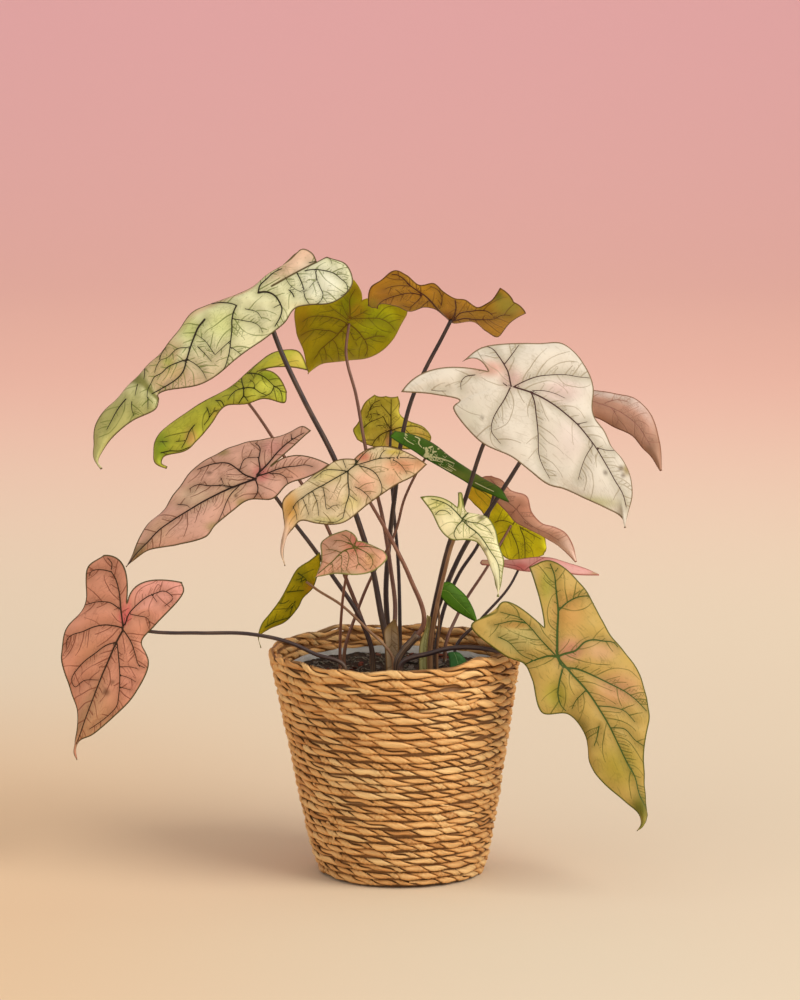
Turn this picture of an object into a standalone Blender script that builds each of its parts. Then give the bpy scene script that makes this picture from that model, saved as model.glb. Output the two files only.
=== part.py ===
"""A caladium in its woven basket pot.

The leaves hang all round on thin stalks that stand in the soil. Each blade is a thin sheet whose
rows follow the leaf's own veins, from the lobes behind the stalk's joint to the tip.
Units are metres, +Z is up, -Y faces the viewer, and the origin is the centre of the basket's base.
"""

import math
from collections import namedtuple

import bmesh
import bpy
import numpy as np
from mathutils import Vector

MM = 0.001

# Driving sizes of the pot
BASE_RADIUS = 50 * MM
RIM_RADIUS = 79 * MM
BASKET_HEIGHT = 143 * MM
BASKET_WALL = 6.5 * MM
BASKET_FLOOR = 6 * MM
BASKET_LEAN = -4 * MM
ROPE_ROWS = 14
ROPE_BULGE = 1.7 * MM
ROPE_STRANDS = 24
RIM_TUBE = 4.6 * MM
RIM_RISE = 4.5 * MM
RIM_RISE_TOWARDS = math.radians(-28)
LINER_WALL = 1 * MM
LINER_TOP = 131 * MM
SOIL_TOP = 127 * MM
SOIL_BUMP = 1.2 * MM
FIT_GAP = 0.3 * MM
FACET_GAP = 0.65 * MM

# Driving sizes of the plant
BLADE_THICKNESS = 0.8 * MM
SHEATH_THICKNESS = 0.7 * MM
TIP_THICKNESS = 0.25 * MM
THICKNESS_PER_CELL = 0.6
ROOT_DEPTH = 8 * MM
HOLE_CLEARANCE = 0.5 * MM
JOINT_GAP = 0.35 * MM
STALK_STEPS = 9
TIP_HALF_WIDTH_PIXELS = 0.6
VEIN_SWEEP = 0.1

# The photograph's viewpoint, which places each leaf by a pixel and a depth
VIEW_PITCH = math.radians(9.6)
VIEW_DISTANCE = 3.0
VIEW_FOCAL_PIXELS = 4778
VIEW_CENTRE_PIXEL = np.array((400, 500))
VIEW_TARGET = np.array((-1 * MM, 0, 238 * MM))
VIEW_FORWARD = np.array((0, math.cos(VIEW_PITCH), -math.sin(VIEW_PITCH)))
VIEW_UP = np.array((0, math.sin(VIEW_PITCH), math.cos(VIEW_PITCH)))
VIEW_RIGHT = np.array((1, 0, 0))
VIEW_EYE = VIEW_TARGET - VIEW_DISTANCE * VIEW_FORWARD

# A leaf's depth is its joint's distance behind the pot's centre, in millimetres, and its lean is how
# many millimetres further back it gets for each millimetre to the right and up. Cup sets its margins
# back, droop its tip, and ruffle waves its margins, in millimetres. Each row is its left margin, rib
# and right margin in pixels, with a point between them on each side where the vein bends.
Leaf = namedtuple("Leaf", "colour depth lean cup droop ruffle joint_row below cells rows")

# A stalk runs from the soil at its root's depth to its leaf's joint, through these pixels.
Stalk = namedtuple("Stalk", "leaf root_depth root_radius joint_radius path")

PALE_GREEN = (0.62, 0.60, 0.40)
OLIVE = (0.30, 0.27, 0.02)
YELLOW_GREEN = (0.42, 0.42, 0.08)
PINK = (0.72, 0.36, 0.27)
CREAM = (0.78, 0.70, 0.55)
BROWN_OLIVE = (0.33, 0.20, 0.05)
DARK_GREEN = (0.08, 0.16, 0.01)
ORANGE_PINK = (0.62, 0.38, 0.12)
LEAF_GREEN = (0.12, 0.22, 0.03)
STALK_BROWN = (0.10, 0.05, 0.035)
STALK_RED = (0.25, 0.11, 0.07)
STALK_TAN = (0.36, 0.22, 0.12)
STRAW = (0.55, 0.33, 0.14)
LINER_WHITE = (0.72, 0.69, 0.62)
SOIL_BROWN = (0.07, 0.05, 0.035)
SHEATH_TAN = (0.42, 0.31, 0.17)

LEAVES = {
    "blade_pale_upper_left": Leaf(PALE_GREEN, 5, (-0.5, 0.9), 4, 3, 1.5, 3, False, 6, (
        (331, 255, 300, 270, 272, 286, 292, 273, 314, 258),
        (353, 281, 308, 275, 264, 289, 279, 271, 303, 249),
        (335, 302, 298, 293, 261, 291, 270, 277, 289, 261),
        (298, 307, 280, 303, 259, 292, 262, 281, 272, 271),
        (284, 324, 276, 305, 256, 294, 248, 289),
        (240, 356, 234, 330, 238, 304, 223, 299),
        (205, 383, 218, 317, 206, 306),
        (166, 391, 189, 352, 203, 326, 188, 317),
        (157, 397, 172, 368, 178, 348, 168, 344),
        (159, 400, 147, 383, 143, 378, 138, 375),
        (155, 410, 128, 398, 115, 400),
        (133, 421, 114, 418, 97, 421),
        (106, 446, 101, 446, 93.5, 444),
        (98, 464, 97, 462, 94.5, 460),
        (102, 469))),
    "blade_olive_back": Leaf(OLIVE, 70, (0.1, -0.7), 3, 0, 1, 2, True, 4, (
        (354, 280, 361, 291, 362, 301, 370, 298, 394, 297),
        (328, 285, 341, 301, 353, 315, 374, 307, 407, 307),
        (297, 304, 322, 308, 349, 323, 376, 321, 404, 320),
        (296, 331, 322, 323, 347, 328, 372, 335, 392, 340),
        (303, 350, 335, 341, 377, 354),
        (306, 362, 321, 355, 348, 361),
        (307, 368, 314, 364, 323, 363),
        (308, 374))),
    "blade_yellow_green_left": Leaf(YELLOW_GREEN, 30, (-0.4, 0.8), 3, 2, 1, 2, False, 4, (
        (287, 392, 275, 373, 257, 371, 283, 367, 309, 371),
        (284, 403, 264, 387, 247, 389, 272, 360, 298, 351),
        (264, 399, 253, 394, 243, 396, 253, 378, 272, 353),
        (247, 404, 239, 398, 248, 371),
        (226, 406, 225, 400, 228, 388),
        (211, 425, 206, 412, 205, 401),
        (197, 441, 186, 429, 178, 418),
        (184, 452, 168, 444, 159, 434),
        (164, 457, 160, 453, 153, 450),
        (161, 464, 158, 463, 155, 462),
        (167, 468))),
    "blade_pink_left": Leaf(PINK, -20, (-0.35, 0.8), 4, 2, 1.5, 3, False, 6, (
        (311, 430, 294, 446, 271, 466, 297, 455, 330, 465),
        (303, 426, 283, 449, 263, 473, 292, 466, 318, 473),
        (278, 436, 267, 455, 258, 477, 276, 476, 288, 485),
        (252, 441, 260, 457, 256, 478, 262, 490, 273, 499),
        (226, 449, 252, 480, 250, 500),
        (193, 469, 224, 465, 246, 481, 236, 492, 233, 511),
        (177, 490, 206, 486, 235, 486, 222, 505, 216, 525),
        (166, 507, 208, 499, 206, 537),
        (148, 523, 182, 514, 178, 545),
        (137, 544, 152, 538, 148, 551),
        (126, 567))),
    "blade_pink_far_left": Leaf(PINK, -20, (-0.3, 0.25), 3, 2, 1.2, 2, False, 6, (
        (104, 555, 124, 566, 127, 603, 143, 582, 182, 582),
        (89, 565, 112, 580, 124, 622, 147, 598, 184, 592),
        (83, 608, 103, 603, 123, 627, 142, 616, 155, 626),
        (66, 630, 94, 626, 122, 632, 133, 633, 142, 642),
        (61, 654, 92, 640, 119, 638, 133, 647, 149, 661),
        (69, 686, 90, 660, 112, 652, 125, 676, 136, 693),
        (77, 712, 100, 680, 114, 717),
        (77, 729, 86, 715, 92, 735),
        (75, 742, 77, 738, 79, 742),
        (74, 752, 75, 750, 76, 750),
        (77, 760))),
    "blade_cream_front": Leaf(CREAM, -45, (-0.2, 0.6), 3, 3, 1, 2, False, 6, (
        (331, 463, 341, 459, 354, 459, 385, 446, 427, 464),
        (325, 468, 338, 464, 352, 466, 385, 459, 414, 476),
        (313, 475, 330, 471, 350, 469, 374, 471, 393, 487),
        (300, 487, 345, 473, 368, 505),
        (289, 493, 331, 482, 345, 496, 343, 523),
        (282, 503, 316, 491, 318, 524),
        (283, 516, 301, 501, 301, 521),
        (284, 527, 290, 514, 293, 529),
        (281, 541, 284, 540, 286, 539),
        (281, 553, 282, 553, 283, 553),
        (285, 566))),
    "blade_pink_small": Leaf(PINK, -35, (-0.1, 0.7), 2, 0, 0.8, 2, False, 4, (
        (346, 530, 354, 534, 358, 541, 367, 543, 384, 551),
        (331, 535, 343, 539, 355, 546, 372, 549, 387, 559),
        (322, 541, 336, 546, 353, 548, 366, 557, 377, 569),
        (321, 553, 340, 553, 357, 575),
        (321, 562, 330, 562, 335, 574),
        (318, 570, 322, 570, 324, 576),
        (315, 578))),
    "blade_green_turned": Leaf(YELLOW_GREEN, -12, (0.3, -0.5), 1, 0, 0.5, 2, True, 4, (
        (320, 552, 320, 558, 320, 566),
        (310, 560, 313, 570, 317, 577),
        (298, 568, 306, 581, 313, 588),
        (289, 583, 296, 593, 303, 598),
        (281, 598, 287, 604, 298, 608),
        (270, 613, 276, 616, 285, 622),
        (261, 625, 264, 627, 268, 630),
        (258, 637, 258.5, 637, 259, 637),
        (261, 648))),
    "blade_brown_olive_top": Leaf(BROWN_OLIVE, 45, (0.1, -1.3), 2, 0, 1, 5, True, 4, (
        (500, 288, 514, 302, 526, 313),
        (496, 294, 503, 308, 512, 321),
        (489, 302, 492, 314, 498, 337),
        (478, 307, 480, 315, 486, 331),
        (466, 300, 463, 313, 472, 322),
        (455, 298, 451, 319, 453, 323),
        (444, 292, 440, 309, 444, 316),
        (433, 283, 427, 298, 434, 309),
        (420, 285, 415, 295, 424, 307),
        (407, 275, 405, 290, 410, 312),
        (395, 270, 392, 286, 396, 306),
        (382, 279, 380, 291, 385, 304),
        (370, 288, 372, 296, 379, 305),
        (368, 306, 372, 308, 378, 309))),
    "blade_white_right": Leaf(CREAM, -25, (0.25, 0.45), 4, 3, 1.5, 4, False, 6, (
        (401, 392, 434, 369, 488, 371, 477, 359, 462, 361),
        (436, 395, 468, 380, 504, 382, 498, 362, 484, 347),
        (459, 400, 484, 390, 508, 384, 506, 362, 502, 344),
        (453, 408, 483, 396, 511, 385, 514, 362, 534, 343),
        (478, 440, 492, 414, 512, 386, 540, 360, 566, 345),
        (513, 458, 504, 418, 519, 389, 553, 374, 591, 377),
        (548, 485, 537, 430, 533, 394, 562, 396, 594, 417),
        (563, 489, 555, 405, 604, 430),
        (583, 498, 583, 468, 586, 436, 601, 440, 614, 451),
        (605, 508, 606, 468, 629, 471),
        (620, 516, 621, 499, 632, 497),
        (625, 528))),
    "blade_pink_right_back": Leaf(PINK, 25, (-0.1, 0.6), 3, 0, 1, 0, False, 4, (
        (552, 374, 560, 396, 552, 412),
        (568, 378, 574, 398, 574, 415),
        (590, 389, 596, 403, 594, 417),
        (614, 393, 618, 411, 613, 427),
        (636, 399, 635, 423, 632, 436),
        (652, 416, 648, 438, 643, 449),
        (660, 443, 656, 452, 651, 457),
        (661, 471))),
    "blade_lime_back": Leaf(YELLOW_GREEN, 70, (0, -0.4), 3, 0, 1, 2, True, 4, (
        (357, 440, 392, 447, 430, 444),
        (353, 430, 391, 437, 431, 436),
        (357, 424, 391, 430, 424, 427),
        (360, 418, 391, 421, 407, 420),
        (361, 410, 388, 410, 400, 413),
        (366, 401, 385, 402, 400, 404),
        (375, 395, 386, 396, 398, 396))),
    "blade_variegated_edge_on": Leaf(DARK_GREEN, 15, (0.92, 2.0), 1, 0, 0.5, 3, False, 4, (
        (395, 431, 392, 434, 390, 437),
        (407, 433, 404, 439, 401, 444),
        (420, 437, 416, 445, 412, 450),
        (434, 444, 429, 452, 424, 458),
        (451, 457, 445, 463, 440, 467),
        (467, 468, 462, 473, 457, 477),
        (485, 479, 480, 484, 476, 488),
        (500, 488, 496, 492, 492, 495),
        (509, 502))),
    "blade_pale_small_front": Leaf(YELLOW_GREEN, -35, (0.1, 0.5), 2, 0, 1, 2, False, 4, (
        (420, 497, 440, 497, 457, 507, 458, 503, 458, 493),
        (430, 510, 444, 507, 460, 514, 461, 505, 462, 493),
        (441, 531, 450, 522, 462, 518, 463, 512, 467, 512),
        (452, 540, 455, 530, 464, 521, 476, 516, 487, 517),
        (465, 540, 469, 526, 495, 529),
        (476, 542, 477, 534, 499, 544),
        (487, 557, 486, 549, 504, 560),
        (493, 576, 494, 567, 503, 573),
        (496, 588, 498, 584, 501, 586),
        (498, 597))),
    "blade_pink_back_right": Leaf(PINK, 45, (0.2, -0.5), 2, 0, 1, 1, True, 4, (
        (491, 476, 483, 477, 475, 479),
        (502, 480, 495, 488, 488, 489),
        (511, 490, 503, 498, 497, 502),
        (527, 496, 515, 508, 506, 511),
        (532, 512, 524, 519, 515, 522),
        (542, 523, 534, 527, 526, 528),
        (555, 527, 547, 533, 540, 535),
        (566, 533, 559, 540, 552, 542),
        (573, 545, 568, 549, 563, 550),
        (576, 562))),
    "blade_lime_back_right": Leaf(OLIVE, 78, (0.1, -0.4), 2, 0, 1, 4, True, 4, (
        (473, 480, 470, 487, 467, 497),
        (484, 484, 479, 493, 474, 504),
        (494, 492, 488, 503, 482, 512),
        (506, 502, 498, 514, 489, 530),
        (520, 513, 511, 525, 496, 546),
        (533, 522, 523, 538, 507, 559),
        (543, 533, 535, 545, 523, 561),
        (546, 541, 542, 549, 536, 558),
        (547, 548, 546, 551, 544, 555))),
    "blade_pink_edge_on": Leaf(PINK, 30, (0.16, 2.0), 1, 0, 0.5, 2, False, 4, (
        (482, 560, 480, 563, 482, 565),
        (503, 560, 503, 564, 504, 567),
        (519, 559, 520, 566, 521, 571),
        (536, 557, 535, 565, 534, 572),
        (551, 558, 550, 566, 548, 572),
        (568, 563, 566, 568, 563, 573),
        (586, 568.5, 583, 572, 578, 575),
        (599, 575))),
    "blade_yellow_pink_right": Leaf(ORANGE_PINK, -60, (0.15, 0.35), 4, 3, 1.5, 3, False, 6, (
        (497, 612, 510, 602, 544, 627, 540, 602, 529, 567),
        (471, 625, 521, 622, 550, 645, 552, 605, 550, 560),
        (502, 654, 533, 645, 553, 651, 566, 610, 582, 585),
        (525, 665, 541, 658, 557, 659, 582, 645, 611, 635),
        (532, 680, 546, 668, 561, 663, 598, 657, 636, 667),
        (542, 713, 553, 690, 566, 670, 609, 682, 649, 712),
        (569, 715, 570, 700, 584, 690, 617, 704, 646, 737),
        (586, 738, 601, 710, 644, 757),
        (589, 763, 613, 733, 645, 778),
        (603, 783, 626, 761, 646, 797),
        (625, 802, 638, 791, 647, 811),
        (639, 815, 644, 812, 647, 817),
        (641, 825, 643, 825, 644, 824),
        (637, 831))),
    "blade_lance_small": Leaf(LEAF_GREEN, 8, (0.2, 0.3), 1, 0, 0, 0, False, 4, (
        (441, 583, 440, 588, 439, 594),
        (449, 582, 447, 590, 444, 601),
        (458, 588, 454, 598, 450, 607),
        (467, 597, 463, 606, 459, 613),
        (473, 608, 470, 613, 466, 617),
        (477, 622))),
    "blade_seedling": Leaf(LEAF_GREEN, -8, (0.2, 0.2), 1, 0, 0, 0, False, 4, (
        (448, 653, 454, 652, 460, 653),
        (449, 659, 457, 658, 464, 657),
        (450, 668, 459, 668, 467, 664),
        (452, 675, 459, 676, 465, 674))),
}

SHEATHS = {
    "sheath_papery": Leaf(SHEATH_TAN, -12, (0, 0), -2, 0, 0, 0, False, 4, (
        (393, 620, 394, 619, 396, 620),
        (385, 629, 391, 630, 398, 629),
        (385, 645, 392, 645, 399, 645),
        (386, 662, 392, 662, 398, 662),
        (387, 676, 392, 676, 398, 676))),
    "sheath_hanging": Leaf(SHEATH_TAN, -21, (0, 0), -1, 0, 0, 0, False, 4, (
        (427, 615, 429, 616, 431, 617),
        (426, 626, 428, 626, 430, 626),
        (420, 643, 424, 642, 428, 641),
        (419, 658, 423, 659, 427, 660),
        (420, 679, 424, 679, 428, 679))),
}

STALKS = {
    "stalk_pale_upper_left": (STALK_BROWN, Stalk("blade_pale_upper_left", -2, 1.9, 1.5, (
        (388, 650), (381, 614), (373, 571), (355, 512), (335, 460), (304, 400), (283, 356)))),
    "stalk_olive_back": (STALK_RED, Stalk("blade_olive_back", 8, 1.5, 0.9, (
        (394, 640), (395, 603), (391, 571), (383, 520), (366, 450), (356, 395), (346, 352)))),
    "stalk_yellow_green_left": (STALK_RED, Stalk("blade_yellow_green_left", 22, 1.4, 0.9, (
        (372, 655), (359, 612), (345, 576), (329, 531), (287, 461), (256, 413)))),
    "stalk_pink_left": (STALK_BROWN, Stalk("blade_pink_left", -6, 1.6, 1.1, (
        (373, 658), (361, 620), (332, 575), (317, 553), (289, 516), (272, 493)))),
    "stalk_pink_far_left": (STALK_BROWN, Stalk("blade_pink_far_left", -22, 1.3, 1.1, (
        (345, 668), (315, 654), (288, 642), (250, 634), (200, 633), (155, 632), (134, 629)))),
    "stalk_cream_front": (STALK_RED, Stalk("blade_cream_front", -30, 1.8, 0.9, (
        (397, 664), (424, 622), (410, 578), (391, 539), (371, 504), (356, 479)))),
    "stalk_pink_small": (STALK_RED, Stalk("blade_pink_small", -8, 1.0, 0.8, (
        (340, 657), (341, 620), (346, 578), (352, 556)))),
    "stalk_green_turned": (STALK_TAN, Stalk("blade_green_turned", -20, 1.0, 0.8, (
        (393, 660), (365, 627), (340, 604), (316, 589)))),
    "stalk_brown_olive_top": (STALK_BROWN, Stalk("blade_brown_olive_top", 38, 1.8, 1.2, (
        (388, 640), (386, 587), (389, 544), (396, 486), (402, 437), (413, 396), (426, 368), (444, 334)))),
    "stalk_white_right": (STALK_BROWN, Stalk("blade_white_right", 2, 1.7, 1.2, (
        (428, 655), (440, 580), (450, 541), (463, 506), (484, 443), (504, 400)))),
    "stalk_pink_right_back": (STALK_BROWN, Stalk("blade_pink_right_back", 14, 1.8, 1.2, (
        (431, 641), (436, 614), (448, 582), (468, 541), (486, 515), (517, 467), (545, 419)))),
    "stalk_lime_back": (STALK_BROWN, Stalk("blade_lime_back", 50, 1.3, 0.9, (
        (400, 655), (398, 560), (393, 500), (390, 450)))),
    "stalk_variegated": (STALK_RED, Stalk("blade_variegated_edge_on", 10, 1.1, 0.8, (
        (344, 657), (357, 612), (373, 574), (388, 548), (396, 530), (404, 500), (416, 474)))),
    "stalk_pale_small_front": (STALK_TAN, Stalk("blade_pale_small_front", -10, 1.6, 1.0, (
        (430, 655), (436, 610), (444, 575), (452, 545), (457, 532)))),
    "stalk_pink_back_right": (STALK_BROWN, Stalk("blade_pink_back_right", 26, 1.5, 0.9, (
        (435, 657), (439, 629), (445, 606), (459, 574), (479, 543), (489, 513)))),
    "stalk_lime_back_right": (STALK_RED, Stalk("blade_lime_back_right", 36, 1.2, 0.8, (
        (445, 650), (458, 614), (489, 564), (499, 546)))),
    "stalk_pink_edge_on": (STALK_BROWN, Stalk("blade_pink_edge_on", 12, 1.1, 0.8, (
        (455, 650), (481, 619), (511, 584)))),
    "stalk_yellow_pink_right": (STALK_BROWN, Stalk("blade_yellow_pink_right", -38, 1.7, 1.3, (
        (401, 665), (431, 653), (452, 648), (478, 648), (498, 651), (538, 657)))),
    "stalk_lance_small": (STALK_TAN, Stalk("blade_lance_small", 13, 0.9, 0.6, (
        (437, 655), (439, 615), (438, 598)))),
}


def clear_scene():
    for thing in list(bpy.data.objects):
        bpy.data.objects.remove(thing, do_unlink=True)


def finish_material(name, colour, roughness=0.6):
    finish = bpy.data.materials.new(name)
    finish.use_nodes = True
    shader = finish.node_tree.nodes["Principled BSDF"]
    shader.inputs["Base Color"].default_value = (*colour, 1)
    shader.inputs["Roughness"].default_value = roughness
    shader.inputs["Metallic"].default_value = 0
    return finish


def add_mesh_object(name, points, faces, finish):
    """A new object from points and faces, shaded smooth."""
    mesh = bpy.data.meshes.new(name)
    mesh.from_pydata([tuple(map(float, point)) for point in points], [], faces)
    mesh.shade_smooth()
    mesh.set_sharp_from_angle(angle=math.radians(40))
    mesh.materials.append(finish)
    made = bpy.data.objects.new(name, mesh)
    bpy.context.scene.collection.objects.link(made)
    return made


def sight_direction(pixels):
    """The direction from the eye through each pixel."""
    across, down = np.moveaxis((np.asarray(pixels, float) - VIEW_CENTRE_PIXEL) / VIEW_FOCAL_PIXELS, -1, 0)
    return VIEW_FORWARD + across[..., None] * VIEW_RIGHT - down[..., None] * VIEW_UP


def at_depth(pixel, depth):
    """The point seen at a pixel, at this distance behind the pot's centre."""
    direction = sight_direction(pixel)
    depth = np.asarray(depth, float)
    return VIEW_EYE + direction * ((depth - VIEW_EYE[1]) / direction[..., 1])[..., None]


def on_leaning_plane(pixels, anchor, lean):
    """The points seen at the pixels on the plane through anchor that gets deeper by lean."""
    direction = sight_direction(pixels)
    lean_x, lean_z = lean
    from_anchor = VIEW_EYE - anchor
    reach = -(from_anchor[1] - lean_x * from_anchor[0] - lean_z * from_anchor[2])
    reach = reach / (direction[..., 1] - lean_x * direction[..., 0] - lean_z * direction[..., 2])
    return VIEW_EYE + direction * reach[..., None]


def smooth_through(points, knots, places):
    """Points at the places along a smooth curve that passes through points at the knots."""
    points = np.asarray(points, float)
    steps = np.diff(knots)
    slopes = np.diff(points, axis=0) / steps.reshape(-1, *[1] * (points.ndim - 1))
    tangents = np.empty_like(points)
    tangents[0] = slopes[0]
    tangents[-1] = slopes[-1]
    for k in range(1, len(points) - 1):
        before, after = steps[k - 1], steps[k]
        tangents[k] = (slopes[k - 1] * after + slopes[k] * before) / (before + after)
    made = []
    for place in places:
        k = min(int(np.searchsorted(knots, place, side="right")) - 1, len(steps) - 1)
        k = max(k, 0)
        t = (place - knots[k]) / steps[k]
        made.append(
            (1 + 2 * t) * (1 - t) ** 2 * points[k]
            + t * (1 - t) ** 2 * steps[k] * tangents[k]
            + t * t * (3 - 2 * t) * points[k + 1]
            - t * t * (1 - t) * steps[k] * tangents[k + 1])
    return np.array(made)


def five_across(row, tip_way):
    """A row's left margin, left bend, rib, right bend and right margin, from what it states."""
    row = np.array(row, float).reshape(-1, 2)
    if len(row) == 1:
        side = np.array((tip_way[1], -tip_way[0])) * TIP_HALF_WIDTH_PIXELS
        row = np.array((row[0] + side, row[0], row[0] - side))
    if len(row) == 5:
        return row
    left, rib, right = row[0], row[-2] if len(row) == 3 else None, row[-1]
    if len(row) == 4:
        left_gap = np.linalg.norm(row[1] - row[0])
        right_gap = np.linalg.norm(row[3] - row[2])
        if left_gap < right_gap:
            rib = row[1]
            return np.array((left, bent_middle(left, rib, tip_way), rib, row[2], right))
        rib = row[2]
        return np.array((left, row[1], rib, bent_middle(right, rib, tip_way), right))
    return np.array((
        left, bent_middle(left, rib, tip_way), rib, bent_middle(right, rib, tip_way), right))


def bent_middle(margin, rib, tip_way):
    """The middle of a vein that leaves the rib squarely and sweeps towards the tip."""
    sweep = VEIN_SWEEP * np.linalg.norm(margin - rib)
    return (margin + rib) / 2 - sweep * tip_way


def blade_net(leaf):
    """The leaf's rows as five pixels each, and how far along the leaf each row is."""
    ribs = [np.array(row, float).reshape(-1, 2) for row in leaf.rows]
    ribs = np.array([row[len(row) // 2] for row in ribs])
    rows = []
    for k, row in enumerate(leaf.rows):
        tip_way = ribs[min(k + 1, len(ribs) - 1)] - ribs[max(k - 1, 0)]
        rows.append(five_across(row, tip_way / np.linalg.norm(tip_way)))
    net = np.array(rows)
    steps = np.linalg.norm(np.diff(net, axis=0), axis=2)[:, (0, 2, 4)].mean(axis=1)
    return net, np.concatenate(((0,), np.cumsum(steps)))


def blade_surface(leaf, splits=1):
    """The leaf's middle surface as a grid of points, rows along it and columns across it."""
    net, knots = blade_net(leaf)
    places = []
    for start, end in zip(knots[:-1], knots[1:]):
        places.extend(start + (end - start) * part / splits for part in range(splits))
    places.append(knots[-1])
    rows = smooth_through(net, knots, places)
    joint = at_depth(net[leaf.joint_row, 2], leaf.depth * MM)
    across = np.linspace(-1, 1, leaf.cells + 1)
    half = np.abs(across)[None, :, None]
    left, left_bend, rib, right_bend, right = (rows[:, None, k] for k in range(5))
    towards_left = (across < 0)[None, :, None]
    bend = np.where(towards_left, left_bend, right_bend)
    margin = np.where(towards_left, left, right)
    pixels = (1 - half) * (1 - 2 * half) * rib + 4 * half * (1 - half) * bend + half * (2 * half - 1) * margin
    points = on_leaning_plane(pixels, joint, leaf.lean)
    along = (np.array(places) / knots[-1])[:, None]
    side = across[None, :]
    back = leaf.cup * side**2 + leaf.droop * along**2
    back = back + leaf.ruffle * side**2 * np.sin(math.tau * (2.5 * along + 0.3 * side))
    direction = sight_direction(pixels)
    return points + direction * (back * MM / direction[..., 1])[..., None]


def surface_normals(grid):
    """The unit normal at each point of a grid, on the side that its columns and rows turn round."""
    normal = np.cross(np.gradient(grid, axis=1), np.gradient(grid, axis=0))
    return normal / np.linalg.norm(normal, axis=2, keepdims=True)


def add_sheet(name, leaf, thickness, splits):
    """A thin blade: a front and a back sheet, closer where the cells are small, joined round their edge."""
    grid = blade_surface(leaf, splits)
    rows, columns = grid.shape[:2]
    count = rows * columns
    cell_sizes = [np.linalg.norm(np.gradient(grid, axis=axis), axis=2) for axis in (0, 1)]
    apart = np.clip(THICKNESS_PER_CELL * np.minimum(*cell_sizes), TIP_THICKNESS, thickness)
    offset = surface_normals(grid) * apart[:, :, None] / 2
    points = np.concatenate(((grid + offset).reshape(-1, 3), (grid - offset).reshape(-1, 3)))
    faces = []
    for i in range(rows - 1):
        for j in range(columns - 1):
            here, below = i * columns + j, (i + 1) * columns + j
            if j < columns // 2:
                faces += [(here, here + 1, below), (here + 1, below + 1, below)]
            else:
                faces += [(here, here + 1, below + 1), (here, below + 1, below)]
    faces += [tuple(corner + count for corner in reversed(face)) for face in faces]
    edge = list(range(columns))
    edge += [i * columns + columns - 1 for i in range(1, rows)]
    edge += [(rows - 1) * columns + j for j in range(columns - 2, -1, -1)]
    edge += [i * columns for i in range(rows - 2, 0, -1)]
    for start, end in zip(edge, edge[1:] + edge[:1]):
        faces += [(end, start, start + count), (end, start + count, end + count)]
    return add_mesh_object(name, points, faces, finish_material(name, leaf.colour))


def stalk_route(stalk):
    """Points from below the soil to just short of the leaf's joint."""
    leaf = LEAVES[stalk.leaf]
    net, _ = blade_net(leaf)
    grid = blade_surface(leaf)
    joint = grid[leaf.joint_row, leaf.cells // 2]
    normal = surface_normals(grid)[leaf.joint_row, leaf.cells // 2]
    faces_viewer = normal[1] < 0
    outwards = normal if faces_viewer == leaf.below else -normal
    pixels = np.array(stalk.path + (tuple(net[leaf.joint_row, 2]),), float)
    travelled = np.concatenate(((0,), np.cumsum(np.linalg.norm(np.diff(pixels, axis=0), axis=1))))
    share = travelled / travelled[-1]
    depths = (stalk.root_depth + (leaf.depth - stalk.root_depth) * share) * MM
    route = [at_depth(pixel, depth) for pixel, depth in zip(pixels, depths)]
    arriving = joint - route[-2]
    arriving = arriving / np.linalg.norm(arriving)
    tilt = math.sqrt(max(0, 1 - float(arriving @ outwards) ** 2))
    stand_off = BLADE_THICKNESS / 2 + JOINT_GAP + stalk.joint_radius * MM * tilt
    route[-1] = joint + outwards * stand_off
    root = route[0].copy()
    root[2] = SOIL_TOP - ROOT_DEPTH
    collar = root.copy()
    collar[2] = SOIL_TOP + SOIL_BUMP
    if route[0][2] < collar[2] + 3 * MM:
        route = route[1:]
    route = np.array([root, collar, *route])
    knots = np.concatenate(((0,), np.cumsum(np.linalg.norm(np.diff(route, axis=0), axis=1))))
    places = np.concatenate((knots[:1], np.linspace(knots[1], knots[-1], STALK_STEPS)))
    return smooth_through(route, knots, places)


def add_stalk(name, colour, stalk):
    """A tapered stalk: a curve with a round bevel and closed ends."""
    route = stalk_route(stalk)
    line = bpy.data.curves.new(name, "CURVE")
    line.dimensions = "3D"
    line.bevel_depth = 1
    line.bevel_resolution = 1
    line.use_fill_caps = True
    spline = line.splines.new("POLY")
    spline.points.add(len(route) - 1)
    for k, (point, place) in enumerate(zip(spline.points, route)):
        share = k / (len(route) - 1)
        point.co = (*place, 1)
        point.radius = (stalk.root_radius + (stalk.joint_radius - stalk.root_radius) * share) * MM
    line.materials.append(finish_material(name, colour, 0.45))
    made = bpy.data.objects.new(name, line)
    bpy.context.scene.collection.objects.link(made)
    return route[0]


def wall_radius(height):
    """The basket's outer radius at a height: a tucked-in foot, then a straight flare."""
    share = height / BASKET_HEIGHT
    foot = 4 * MM * (1 - math.exp(-height / (9 * MM)))
    return BASE_RADIUS + foot + (RIM_RADIUS - BASE_RADIUS - 4 * MM) * share


def rim_lift(angle, height):
    """How much the top rows rise towards the right of the front, by height."""
    towards = max(0, math.cos(angle - RIM_RISE_TOWARDS)) ** 3
    return RIM_RISE * towards * (height / BASKET_HEIGHT) ** 4


def basket_point(angle, radius, height):
    lean = BASKET_LEAN * height / BASKET_HEIGHT
    return (radius * math.cos(angle) + lean, radius * math.sin(angle), height + rim_lift(angle, height))


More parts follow.
